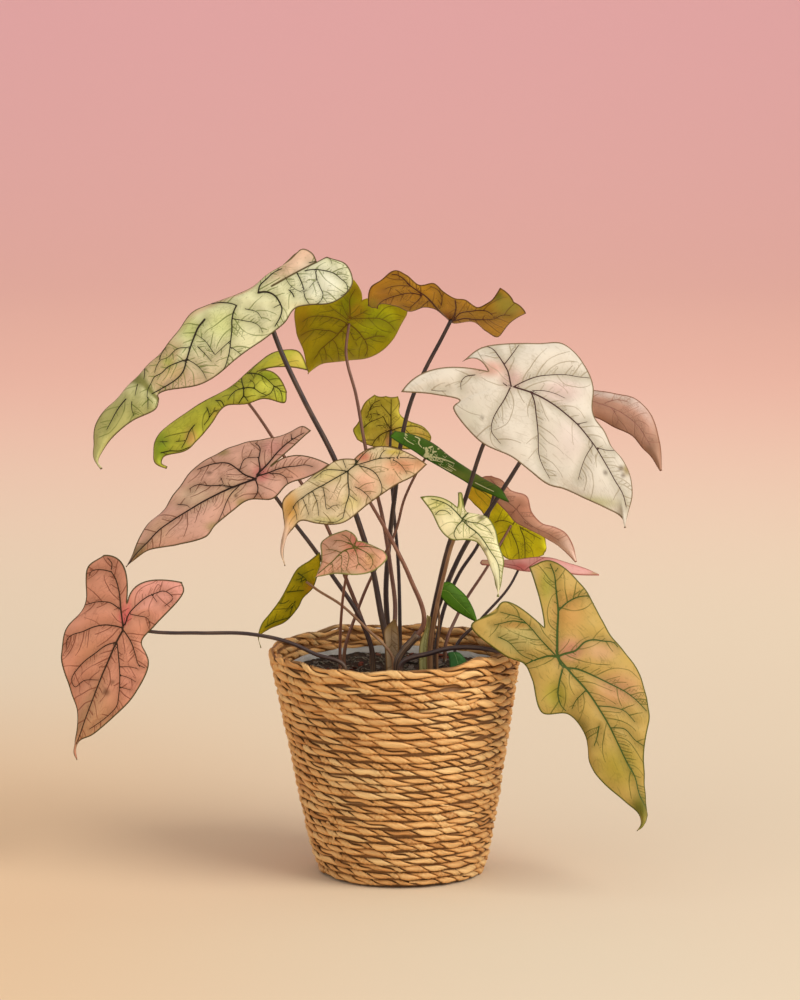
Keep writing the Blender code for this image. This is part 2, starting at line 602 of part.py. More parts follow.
def add_basket(finish):
    """The woven pot, turned as one body, with its rows of rope and the strands in each as relief."""
    rings = []

    def ring(radius, height, lump=0, phase=0):
        angles = [math.tau * k / (2 * ROPE_STRANDS) for k in range(2 * ROPE_STRANDS)]
        lumps = [lump * (1 if (k + phase) % 2 else -1) for k in range(len(angles))]
        rings.append([basket_point(a, radius + extra, height) for a, extra in zip(angles, lumps)])

    top_row = BASKET_HEIGHT - RIM_TUBE
    for row in range(ROPE_ROWS):
        for step in range(3):
            height = top_row * (row + step / 3) / ROPE_ROWS
            bulge = ROPE_BULGE * math.sin(math.pi * step / 3)
            ring(wall_radius(height) + bulge, height, 0.45 * MM * (step > 0), row + (step == 2))
    rim_middle = RIM_RADIUS - BASKET_WALL / 2
    for step in range(6):
        angle = math.radians(-20 + 200 * step / 5)
        lump = 0.7 * MM * (0 < step < 5)
        reach = RIM_TUBE * math.cos(angle)
        rise = RIM_TUBE * math.sin(angle)
        ring(rim_middle + reach + 1 * MM, BASKET_HEIGHT - RIM_TUBE / 2 + rise, lump, step)
    for step in range(1, 5):
        height = top_row + (BASKET_FLOOR - top_row) * step / 4
        ring(wall_radius(height) - BASKET_WALL, height)

    count = 2 * ROPE_STRANDS
    points = [point for points_round in rings for point in points_round]
    faces = []
    for i in range(len(rings) - 1):
        for j in range(count):
            here, beside = i * count + j, i * count + (j + 1) % count
            faces.append((here, beside, beside + count, here + count))
    faces.append(tuple(reversed(range(count))))
    faces.append(tuple(range(len(points) - count, len(points))))
    basket = add_mesh_object("basket", points, faces, finish)
    triangulate = basket.modifiers.new("triangles", "TRIANGULATE")
    triangulate.quad_method = "FIXED"
    return basket


def add_turned(name, profile, sides, finish):
    """A closed body turned from a profile that starts and ends on the axis."""
    shape = bmesh.new()
    corners = [shape.verts.new(place) for place in profile]
    edges = [shape.edges.new(pair) for pair in zip(corners, corners[1:])]
    bmesh.ops.spin(
        shape, geom=corners + edges, cent=(0, 0, 0), axis=(0, 0, 1), angle=math.tau, steps=sides)
    bmesh.ops.remove_doubles(shape, verts=shape.verts, dist=0.01 * MM)
    bmesh.ops.recalc_face_normals(shape, faces=shape.faces)
    bmesh.ops.triangulate(shape, faces=shape.faces)
    mesh = bpy.data.meshes.new(name)
    shape.to_mesh(mesh)
    shape.free()
    mesh.shade_smooth()
    mesh.set_sharp_from_angle(angle=math.radians(40))
    mesh.materials.append(finish)
    made = bpy.data.objects.new(name, mesh)
    bpy.context.scene.collection.objects.link(made)
    return made


def inside_radius(height):
    return wall_radius(height) - BASKET_WALL - FIT_GAP


def lean_with_basket(body):
    for vertex in body.data.vertices:
        vertex.co.x += BASKET_LEAN * vertex.co.z / BASKET_HEIGHT


def add_liner(finish):
    """The thin pot liner, open at the top."""
    bottom = BASKET_FLOOR + FIT_GAP
    heights = [bottom + (LINER_TOP - bottom) * k / 3 for k in range(4)]
    outer = [(inside_radius(h) - FACET_GAP, 0, h) for h in heights]
    inner = [(x - LINER_WALL, 0, max(h, bottom + LINER_WALL)) for x, _, h in reversed(outer)]
    profile = [(0, 0, bottom), *outer, *inner, (0, 0, bottom + LINER_WALL)]
    liner = add_turned("liner", profile, 40, finish)
    lean_with_basket(liner)
    return liner


def soil_surface(x, y):
    """The uneven top of the soil."""
    waves = math.sin(x * 210 + 1) * math.cos(y * 190) + 0.6 * math.sin(x * 90 - y * 130)
    return SOIL_TOP + SOIL_BUMP * 0.6 * waves


def add_soil(finish):
    bottom = BASKET_FLOOR + FIT_GAP + LINER_WALL + FIT_GAP
    clearance = FACET_GAP + LINER_WALL + FIT_GAP + FACET_GAP
    top_radius = inside_radius(SOIL_TOP) - clearance
    profile = [(0, 0, bottom), (inside_radius(bottom) - clearance, 0, bottom), (top_radius, 0, SOIL_TOP)]
    profile += [(top_radius * share, 0, SOIL_TOP) for share in (0.8, 0.6, 0.4, 0.2)]
    profile.append((0, 0, SOIL_TOP))
    soil = add_turned("soil", profile, 26, finish)
    for vertex in soil.data.vertices:
        x, y, z = vertex.co
        if z > SOIL_TOP - MM and math.hypot(x, y) < top_radius * 0.95:
            vertex.co.z = soil_surface(x, y)
    lean_with_basket(soil)
    return soil


def cut_holes(soil, roots):
    """Plain holes in the soil, one for each stalk."""
    cutters = bpy.data.collections.new("hole cutters")
    bpy.context.scene.collection.children.link(cutters)
    for number, (root, radius) in enumerate(roots):
        shape = bmesh.new()
        depth = ROOT_DEPTH + HOLE_CLEARANCE + 6 * MM
        centre = Vector(root) + Vector((0, 0, depth / 2 - HOLE_CLEARANCE))
        bmesh.ops.create_cone(
            shape, cap_ends=True, segments=8, radius1=radius, radius2=radius, depth=depth)
        bmesh.ops.translate(shape, verts=shape.verts, vec=centre)
        mesh = bpy.data.meshes.new(f"hole_{number}")
        shape.to_mesh(mesh)
        shape.free()
        cutter = bpy.data.objects.new(f"hole_{number}", mesh)
        cutter.hide_render = True
        cutter.display_type = "WIRE"
        cutters.objects.link(cutter)
    cut = soil.modifiers.new("stalk holes", "BOOLEAN")
    cut.operation = "DIFFERENCE"
    cut.operand_type = "COLLECTION"
    cut.collection = cutters
    cut.solver = "EXACT"


def build():
    clear_scene()
    add_basket(finish_material("woven_grass", STRAW, 0.75))
    add_liner(finish_material("liner_plastic", LINER_WHITE, 0.5))
    soil = add_soil(finish_material("potting_soil", SOIL_BROWN, 0.95))
    roots = []
    for name, (colour, stalk) in STALKS.items():
        root = add_stalk(name, colour, stalk)
        roots.append((root, stalk.root_radius * MM + HOLE_CLEARANCE))
    cut_holes(soil, roots)
    for name, leaf in LEAVES.items():
        add_sheet(name, leaf, BLADE_THICKNESS, 1 if len(leaf.rows) > 8 else 2)
    for name, sheath in SHEATHS.items():
        add_sheet(name, sheath, SHEATH_THICKNESS, 2)


build()
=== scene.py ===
"""A caladium in its woven basket pot, dressed over its CAD frame.

Each leaf is a fine sheet whose rows follow its veins, the basket is laid up from twisted strands of
dry grass, and the soil, liner and stalks are modelled round them.
Metres, +Z up, -Y towards the viewer.
"""

import math
from collections import namedtuple

import bmesh
import bpy
import numpy as np
from bpy.props import FloatProperty, FloatVectorProperty, IntProperty, PointerProperty
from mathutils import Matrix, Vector, noise


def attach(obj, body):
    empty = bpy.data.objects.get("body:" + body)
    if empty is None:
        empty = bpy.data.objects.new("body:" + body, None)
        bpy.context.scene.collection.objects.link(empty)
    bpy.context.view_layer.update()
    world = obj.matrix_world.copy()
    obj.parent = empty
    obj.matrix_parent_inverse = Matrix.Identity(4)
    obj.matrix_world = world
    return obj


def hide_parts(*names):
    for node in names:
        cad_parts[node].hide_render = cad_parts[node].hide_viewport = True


bl_info = {
    "name": "Caladium in a basket pot",
    "version": (1, 0, 0),
    "blender": (4, 5, 0),
    "location": "3D View > Sidebar > Caladium",
    "description": "Leaves, stalks, soil, liner and woven basket over the CAD frame",
    "category": "Add Mesh",
}

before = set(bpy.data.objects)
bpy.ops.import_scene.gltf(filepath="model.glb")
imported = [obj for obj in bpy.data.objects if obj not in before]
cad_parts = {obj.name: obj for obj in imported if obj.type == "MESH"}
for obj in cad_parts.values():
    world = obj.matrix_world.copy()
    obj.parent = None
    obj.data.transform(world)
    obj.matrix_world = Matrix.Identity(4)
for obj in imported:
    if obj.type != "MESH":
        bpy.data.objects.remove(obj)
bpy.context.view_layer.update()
MM = 0.001

# The photograph's viewpoint, which places each leaf by a pixel and a depth
VIEW_PITCH = math.radians(9.6)
VIEW_DISTANCE = 3.0
VIEW_FOCAL_PIXELS = 4778
VIEW_HEIGHT_PIXELS = 1000
VIEW_CENTRE_PIXEL = np.array((400, 500))
VIEW_TARGET = np.array((-1 * MM, 0, 238 * MM))
VIEW_FORWARD = np.array((0, math.cos(VIEW_PITCH), -math.sin(VIEW_PITCH)))
VIEW_UP = np.array((0, math.sin(VIEW_PITCH), math.cos(VIEW_PITCH)))
VIEW_RIGHT = np.array((1, 0, 0))
VIEW_EYE = VIEW_TARGET - VIEW_DISTANCE * VIEW_FORWARD
PIXEL = VIEW_DISTANCE / VIEW_FOCAL_PIXELS

# The basket and what stands in it, as in the CAD frame
BASE_RADIUS = 50 * MM
RIM_RADIUS = 79 * MM
BASKET_HEIGHT = 143 * MM
BASKET_WALL = 6.5 * MM
BASKET_LEAN = -4 * MM
RIM_RISE = 4.5 * MM
RIM_RISE_TOWARDS = math.radians(-28)
SOIL_TOP = 127 * MM
SOIL_BUMP = 1.2 * MM
SOIL_SHIFT = BASKET_LEAN * SOIL_TOP / BASKET_HEIGHT
LINER_TOP = 131 * MM
ROOT_DEPTH = 8 * MM
TIP_HALF_WIDTH_PIXELS = 0.6
VEIN_SWEEP = 0.1
VEIN_STEP_PIXELS = 2.5
SIDE_STEP_PIXELS = 2.2
SIDE_GAP_PIXELS = 3.4


def paint(code):
    """The linear colour of a screen colour."""
    shades = [int(code[k:k + 2], 16) / 255 for k in (1, 3, 5)]
    return tuple(s / 12.92 if s <= 0.04045 else ((s + 0.055) / 1.055) ** 2.4 for s in shades)


# A leaf's depth is its joint's distance behind the pot's centre, in millimetres, and its lean is how
# many millimetres further back it gets for each millimetre to the right and up. Cup sets its margins
# back, droop its tip, and ruffle waves its margins, in millimetres. Each row is its left margin, rib
# and right margin in pixels, with a point between them on each side where the vein bends.
Leaf = namedtuple("Leaf", "depth lean cup droop ruffle joint_row below rows")

LEAVES = {
    "blade_pale_upper_left": Leaf(5, (-0.5, 0.9), 4, 3, 1.5, 4, False, (
        (327, 257, 299, 271, 272, 286, 294, 274, 317, 262),
        (345, 263, 305, 272, 269, 287.5, 289, 272, 313, 254),
        (353, 281, 308, 275, 264, 289, 279, 271, 303, 249),
        (335, 302, 298, 293, 261, 291, 270, 277, 289, 261),
        (298, 307, 280, 303, 259, 292, 262, 281, 272, 271),
        (284, 324, 276, 305, 256, 294, 248, 289), (240, 356, 234, 330, 238, 304, 223, 299),
        (205, 383, 218, 317, 206, 306), (166, 391, 189, 352, 203, 326, 188, 317),
        (157, 397, 172, 368, 178, 348, 168, 344), (159, 400, 147, 383, 143, 378, 138, 375),
        (155, 410, 128, 398, 115, 400), (133, 421, 114, 418, 97, 421), (106, 446, 101, 446, 93.5, 444),
        (98, 464, 97, 462, 94.5, 460), (102, 469))),
    "blade_olive_back": Leaf(70, (0.1, -0.7), 3, 0, 1, 2, True, (
        (354, 280, 361, 291, 362, 301, 370, 298, 394, 297),
        (328, 285, 341, 301, 353, 315, 374, 307, 407, 307),
        (297, 304, 322, 308, 349, 323, 376, 321, 404, 320),
        (296, 331, 322, 323, 347, 328, 372, 335, 392, 340),
        (303, 350, 335, 341, 377, 354), (306, 362, 321, 355, 348, 361), (307, 368, 314, 364, 323, 363),
        (308, 374))),
    "blade_yellow_green_left": Leaf(30, (-0.4, 0.8), 3, 2, 1, 2, False, (
        (287, 392, 275, 373, 257, 371, 283, 367, 309, 371),
        (284, 403, 264, 387, 247, 389, 272, 360, 298, 351),
        (264, 399, 253, 394, 243, 396, 253, 378, 272, 353),
        (247, 404, 239, 398, 248, 371), (226, 406, 225, 400, 228, 388), (211, 425, 206, 412, 205, 401),
        (197, 441, 186, 429, 178, 418), (184, 452, 168, 444, 159, 434), (164, 457, 160, 453, 153, 450),
        (161, 464, 158, 463, 155, 462), (167, 468))),
    "blade_pink_left": Leaf(-20, (-0.35, 0.8), 4, 2, 1.5, 3, False, (
        (311, 430, 294, 446, 271, 466, 297, 455, 330, 465),
        (303, 426, 283, 449, 263, 473, 292, 466, 318, 473),
        (278, 436, 267, 455, 258, 477, 276, 476, 288, 485),
        (252, 441, 260, 457, 256, 478, 262, 490, 273, 499),
        (226, 449, 252, 480, 250, 500),
        (193, 469, 224, 465, 246, 481, 236, 492, 233, 511),
        (177, 490, 206, 486, 235, 486, 222, 505, 216, 525),
        (166, 507, 208, 499, 206, 537), (148, 523, 182, 514, 178, 545), (137, 544, 152, 538, 148, 551),
        (126, 567))),
    "blade_pink_far_left": Leaf(-20, (-0.3, 0.25), 3, 2, 1.2, 2, False, (
        (104, 555, 124, 566, 127, 603, 143, 582, 182, 582),
        (89, 565, 112, 580, 124, 622, 147, 598, 184, 592),
        (83, 608, 103, 603, 123, 627, 142, 616, 155, 626),
        (66, 630, 94, 626, 122, 632, 133, 633, 142, 642),
        (61, 654, 92, 640, 119, 638, 133, 647, 149, 661),
        (69, 686, 90, 660, 112, 652, 125, 676, 136, 693),
        (77, 712, 100, 680, 114, 717), (77, 729, 86, 715, 92, 735), (75, 742, 77, 738, 79, 742),
        (74, 752, 75, 750, 76, 750), (77, 760))),
    "blade_cream_front": Leaf(-45, (-0.2, 0.6), 3, 3, 1, 2, False, (
        (331, 463, 341, 459, 354, 459, 385, 446, 427, 464),
        (325, 468, 338, 464, 352, 466, 385, 459, 414, 476),
        (313, 475, 330, 471, 350, 469, 374, 471, 393, 487),
        (300, 487, 345, 473, 368, 505), (289, 493, 331, 482, 345, 496, 343, 523),
        (282, 503, 316, 491, 318, 524), (283, 516, 301, 501, 301, 521), (284, 527, 290, 514, 293, 529),
        (281, 541, 284, 540, 286, 539), (281, 553, 282, 553, 283, 553), (285, 566))),
    "blade_pink_small": Leaf(-35, (-0.1, 0.7), 2, 0, 0.8, 2, False, (
        (346, 530, 354, 534, 358, 541, 367, 543, 384, 551),
        (331, 535, 343, 539, 355, 546, 372, 549, 387, 559),
        (322, 541, 336, 546, 353, 548, 366, 557, 377, 569),
        (321, 553, 340, 553, 357, 575), (321, 562, 330, 562, 335, 574), (318, 570, 322, 570, 324, 576),
        (315, 578))),
    "blade_green_turned": Leaf(-12, (0.3, -0.5), 1, 0, 0.5, 2, True, (
        (320, 552, 320, 558, 320, 566), (310, 560, 313, 570, 317, 577), (298, 568, 306, 581, 313, 588),
        (289, 583, 296, 593, 303, 598), (281, 598, 287, 604, 298, 608), (270, 613, 276, 616, 285, 622),
        (261, 625, 264, 627, 268, 630), (258, 637, 258.5, 637, 259, 637), (261, 648))),
    "blade_brown_olive_top": Leaf(45, (0.1, -1.3), 2, 0, 1, 5, True, (
        (500, 288, 514, 302, 526, 313), (496, 294, 503, 308, 512, 321), (489, 302, 492, 314, 498, 337),
        (478, 307, 480, 315, 486, 331), (466, 300, 463, 313, 472, 322), (455, 298, 451, 319, 453, 323),
        (444, 292, 440, 309, 444, 316), (433, 283, 427, 298, 434, 309), (420, 285, 415, 295, 424, 307),
        (407, 275, 405, 290, 410, 312), (395, 270, 392, 286, 396, 306), (382, 279, 380, 291, 385, 304),
        (370, 288, 372, 296, 379, 305), (368, 306, 372, 308, 378, 309))),
    "blade_white_right": Leaf(-25, (0.25, 0.45), 4, 3, 1.5, 4, False, (
        (401, 392, 434, 369, 488, 371, 477, 359, 462, 361),
        (436, 395, 468, 380, 504, 382, 498, 362, 484, 347),
        (459, 400, 484, 390, 508, 384, 506, 362, 502, 344),
        (453, 408, 483, 396, 511, 385, 514, 362, 534, 343),
        (478, 440, 492, 414, 512, 386, 540, 360, 566, 345),
        (513, 458, 504, 418, 519, 389, 553, 374, 591, 377),
        (548, 485, 537, 430, 533, 394, 562, 396, 594, 417),
        (563, 489, 555, 405, 604, 430),
        (583, 498, 583, 468, 586, 436, 601, 440, 614, 451),
        (605, 508, 606, 468, 629, 471), (620, 516, 621, 499, 632, 497), (625, 528))),
    "blade_pink_right_back": Leaf(25, (-0.1, 0.6), 3, 0, 1, 0, False, (
        (552, 374, 560, 396, 552, 412), (568, 378, 574, 398, 574, 415), (590, 389, 596, 403, 594, 417),
        (614, 393, 618, 411, 613, 427), (636, 399, 635, 423, 632, 436), (652, 416, 648, 438, 643, 449),
        (660, 443, 656, 452, 651, 457), (661, 471))),
    "blade_lime_back": Leaf(70, (0, -0.4), 3, 0, 1, 2, True, (
        (357, 440, 392, 447, 430, 444), (353, 430, 391, 437, 431, 436), (357, 424, 391, 430, 424, 427),
        (360, 418, 391, 421, 407, 420), (361, 410, 388, 410, 400, 413), (366, 401, 385, 402, 400, 404),
        (375, 395, 386, 396, 398, 396))),
    "blade_variegated_edge_on": Leaf(15, (0.92, 2), 1, 0, 0.5, 3, False, (
        (395, 431, 392, 434, 390, 437), (407, 433, 404, 439, 401, 444), (420, 437, 416, 445, 412, 450),
        (434, 444, 429, 452, 424, 458), (451, 457, 445, 463, 440, 467), (467, 468, 462, 473, 457, 477),
        (485, 479, 480, 484, 476, 488), (500, 488, 496, 492, 492, 495), (509, 502))),
    "blade_pale_small_front": Leaf(-35, (0.1, 0.5), 2, 0, 1, 2, False, (
        (420, 497, 440, 497, 457, 507, 458, 503, 458, 493),
        (430, 510, 444, 507, 460, 514, 461, 505, 462, 493),
        (441, 531, 450, 522, 462, 518, 463, 512, 467, 512),
        (452, 540, 455, 530, 464, 521, 476, 516, 487, 517),
        (465, 540, 469, 526, 495, 529), (476, 542, 477, 534, 499, 544), (487, 557, 486, 549, 504, 560),
        (493, 576, 494, 567, 503, 573), (496, 588, 498, 584, 501, 586), (498, 597))),
    "blade_pink_back_right": Leaf(45, (0.2, -0.5), 2, 0, 1, 1, True, (
        (491, 476, 483, 477, 475, 479), (502, 480, 495, 488, 488, 489), (511, 490, 503, 498, 497, 502),
        (527, 496, 515, 508, 506, 511), (532, 512, 524, 519, 515, 522), (542, 523, 534, 527, 526, 528),
        (555, 527, 547, 533, 540, 535), (566, 533, 559, 540, 552, 542), (573, 545, 568, 549, 563, 550),
        (576, 562))),
    "blade_lime_back_right": Leaf(78, (0.1, -0.4), 2, 0, 1, 4, True, (
        (473, 480, 470, 487, 467, 497), (484, 484, 479, 493, 474, 504), (494, 492, 488, 503, 482, 512),
        (506, 502, 498, 514, 489, 530), (520, 513, 511, 525, 496, 546), (533, 522, 523, 538, 507, 559),
        (543, 533, 535, 545, 523, 561), (546, 541, 542, 549, 536, 558), (547, 548, 546, 551, 544, 555))),
    "blade_pink_edge_on": Leaf(30, (0.16, 2), 1, 0, 0.5, 2, False, (
        (482, 560, 480, 563, 482, 565), (503, 560, 503, 564, 504, 567), (519, 559, 520, 566, 521, 571),
        (536, 557, 535, 565, 534, 572), (551, 558, 550, 566, 548, 572), (568, 563, 566, 568, 563, 573),
        (586, 568.5, 583, 572, 578, 575), (599, 575))),
    "blade_yellow_pink_right": Leaf(-60, (0.15, 0.35), 4, 3, 1.5, 3, False, (
        (497, 612, 510, 602, 544, 627, 540, 602, 529, 567),
        (471, 625, 521, 622, 550, 645, 552, 605, 550, 560),
        (502, 654, 533, 645, 553, 651, 566, 610, 582, 585),
        (525, 665, 541, 658, 557, 659, 582, 645, 611, 635),
        (532, 680, 546, 668, 561, 663, 598, 657, 636, 667),
        (542, 713, 553, 690, 566, 670, 609, 682, 649, 712),
        (569, 715, 570, 700, 584, 690, 617, 704, 646, 737),
        (586, 738, 601, 710, 644, 757), (589, 763, 613, 733, 645, 778), (603, 783, 626, 761, 646, 797),
        (625, 802, 638, 791, 647, 811), (639, 815, 644, 812, 647, 817), (641, 825, 643, 825, 644, 824),
        (637, 831))),
    "blade_lance_small": Leaf(8, (0.2, 0.3), 1, 0, 0, 0, False, (
        (441, 583, 440, 588, 439, 594), (449, 582, 447, 590, 444, 601), (458, 588, 454, 598, 450, 607),
        (467, 597, 463, 606, 459, 613), (473, 608, 470, 613, 466, 617), (477, 622))),
    "blade_seedling": Leaf(-8, (0.2, 0.2), 1, 0, 0, 0, False, (
        (448, 653, 454, 652, 460, 653), (449, 659, 457, 658, 464, 657), (450, 668, 459, 668, 467, 664),
        (452, 675, 459, 676, 465, 674))),
}

SHEATHS = {
    "sheath_papery": Leaf(-12, (0, 0), -2, 0, 0, 0, False, (
        (393, 620, 394, 619, 396, 620),
        (385, 629, 391, 630, 398, 629),
        (385, 645, 392, 645, 399, 645),
        (386, 662, 392, 662, 398, 662),
        (387, 676, 392, 676, 398, 676))),
    "sheath_hanging": Leaf(-21, (0, 0), -1, 0, 0, 0, False, (
        (427, 615, 429, 616, 431, 617),
        (426, 626, 428, 626, 430, 626),
        (420, 643, 424, 642, 428, 641),
        (419, 658, 423, 659, 427, 660),
        (420, 679, 424, 679, 428, 679))),
}

# How a leaf is coloured: its blade, margin line, main veins and fine net, the hidden face, and then
# its veins, tints and spots. A vein is its width in tenths of a millimetre at its start and at its end,
# and the pixels it runs through. A tint is a soft patch: its row, its place across from -1 at the left
# margin to 1 at the right, its reach along the rows and across, its colour and its strength. A spot is
# the same at a pixel, with its reach across and down in pixels.
Look = namedtuple("Look", "slot blade margin vein net hidden veins tints spots")

BROWN_SPOT = "#4A3016"

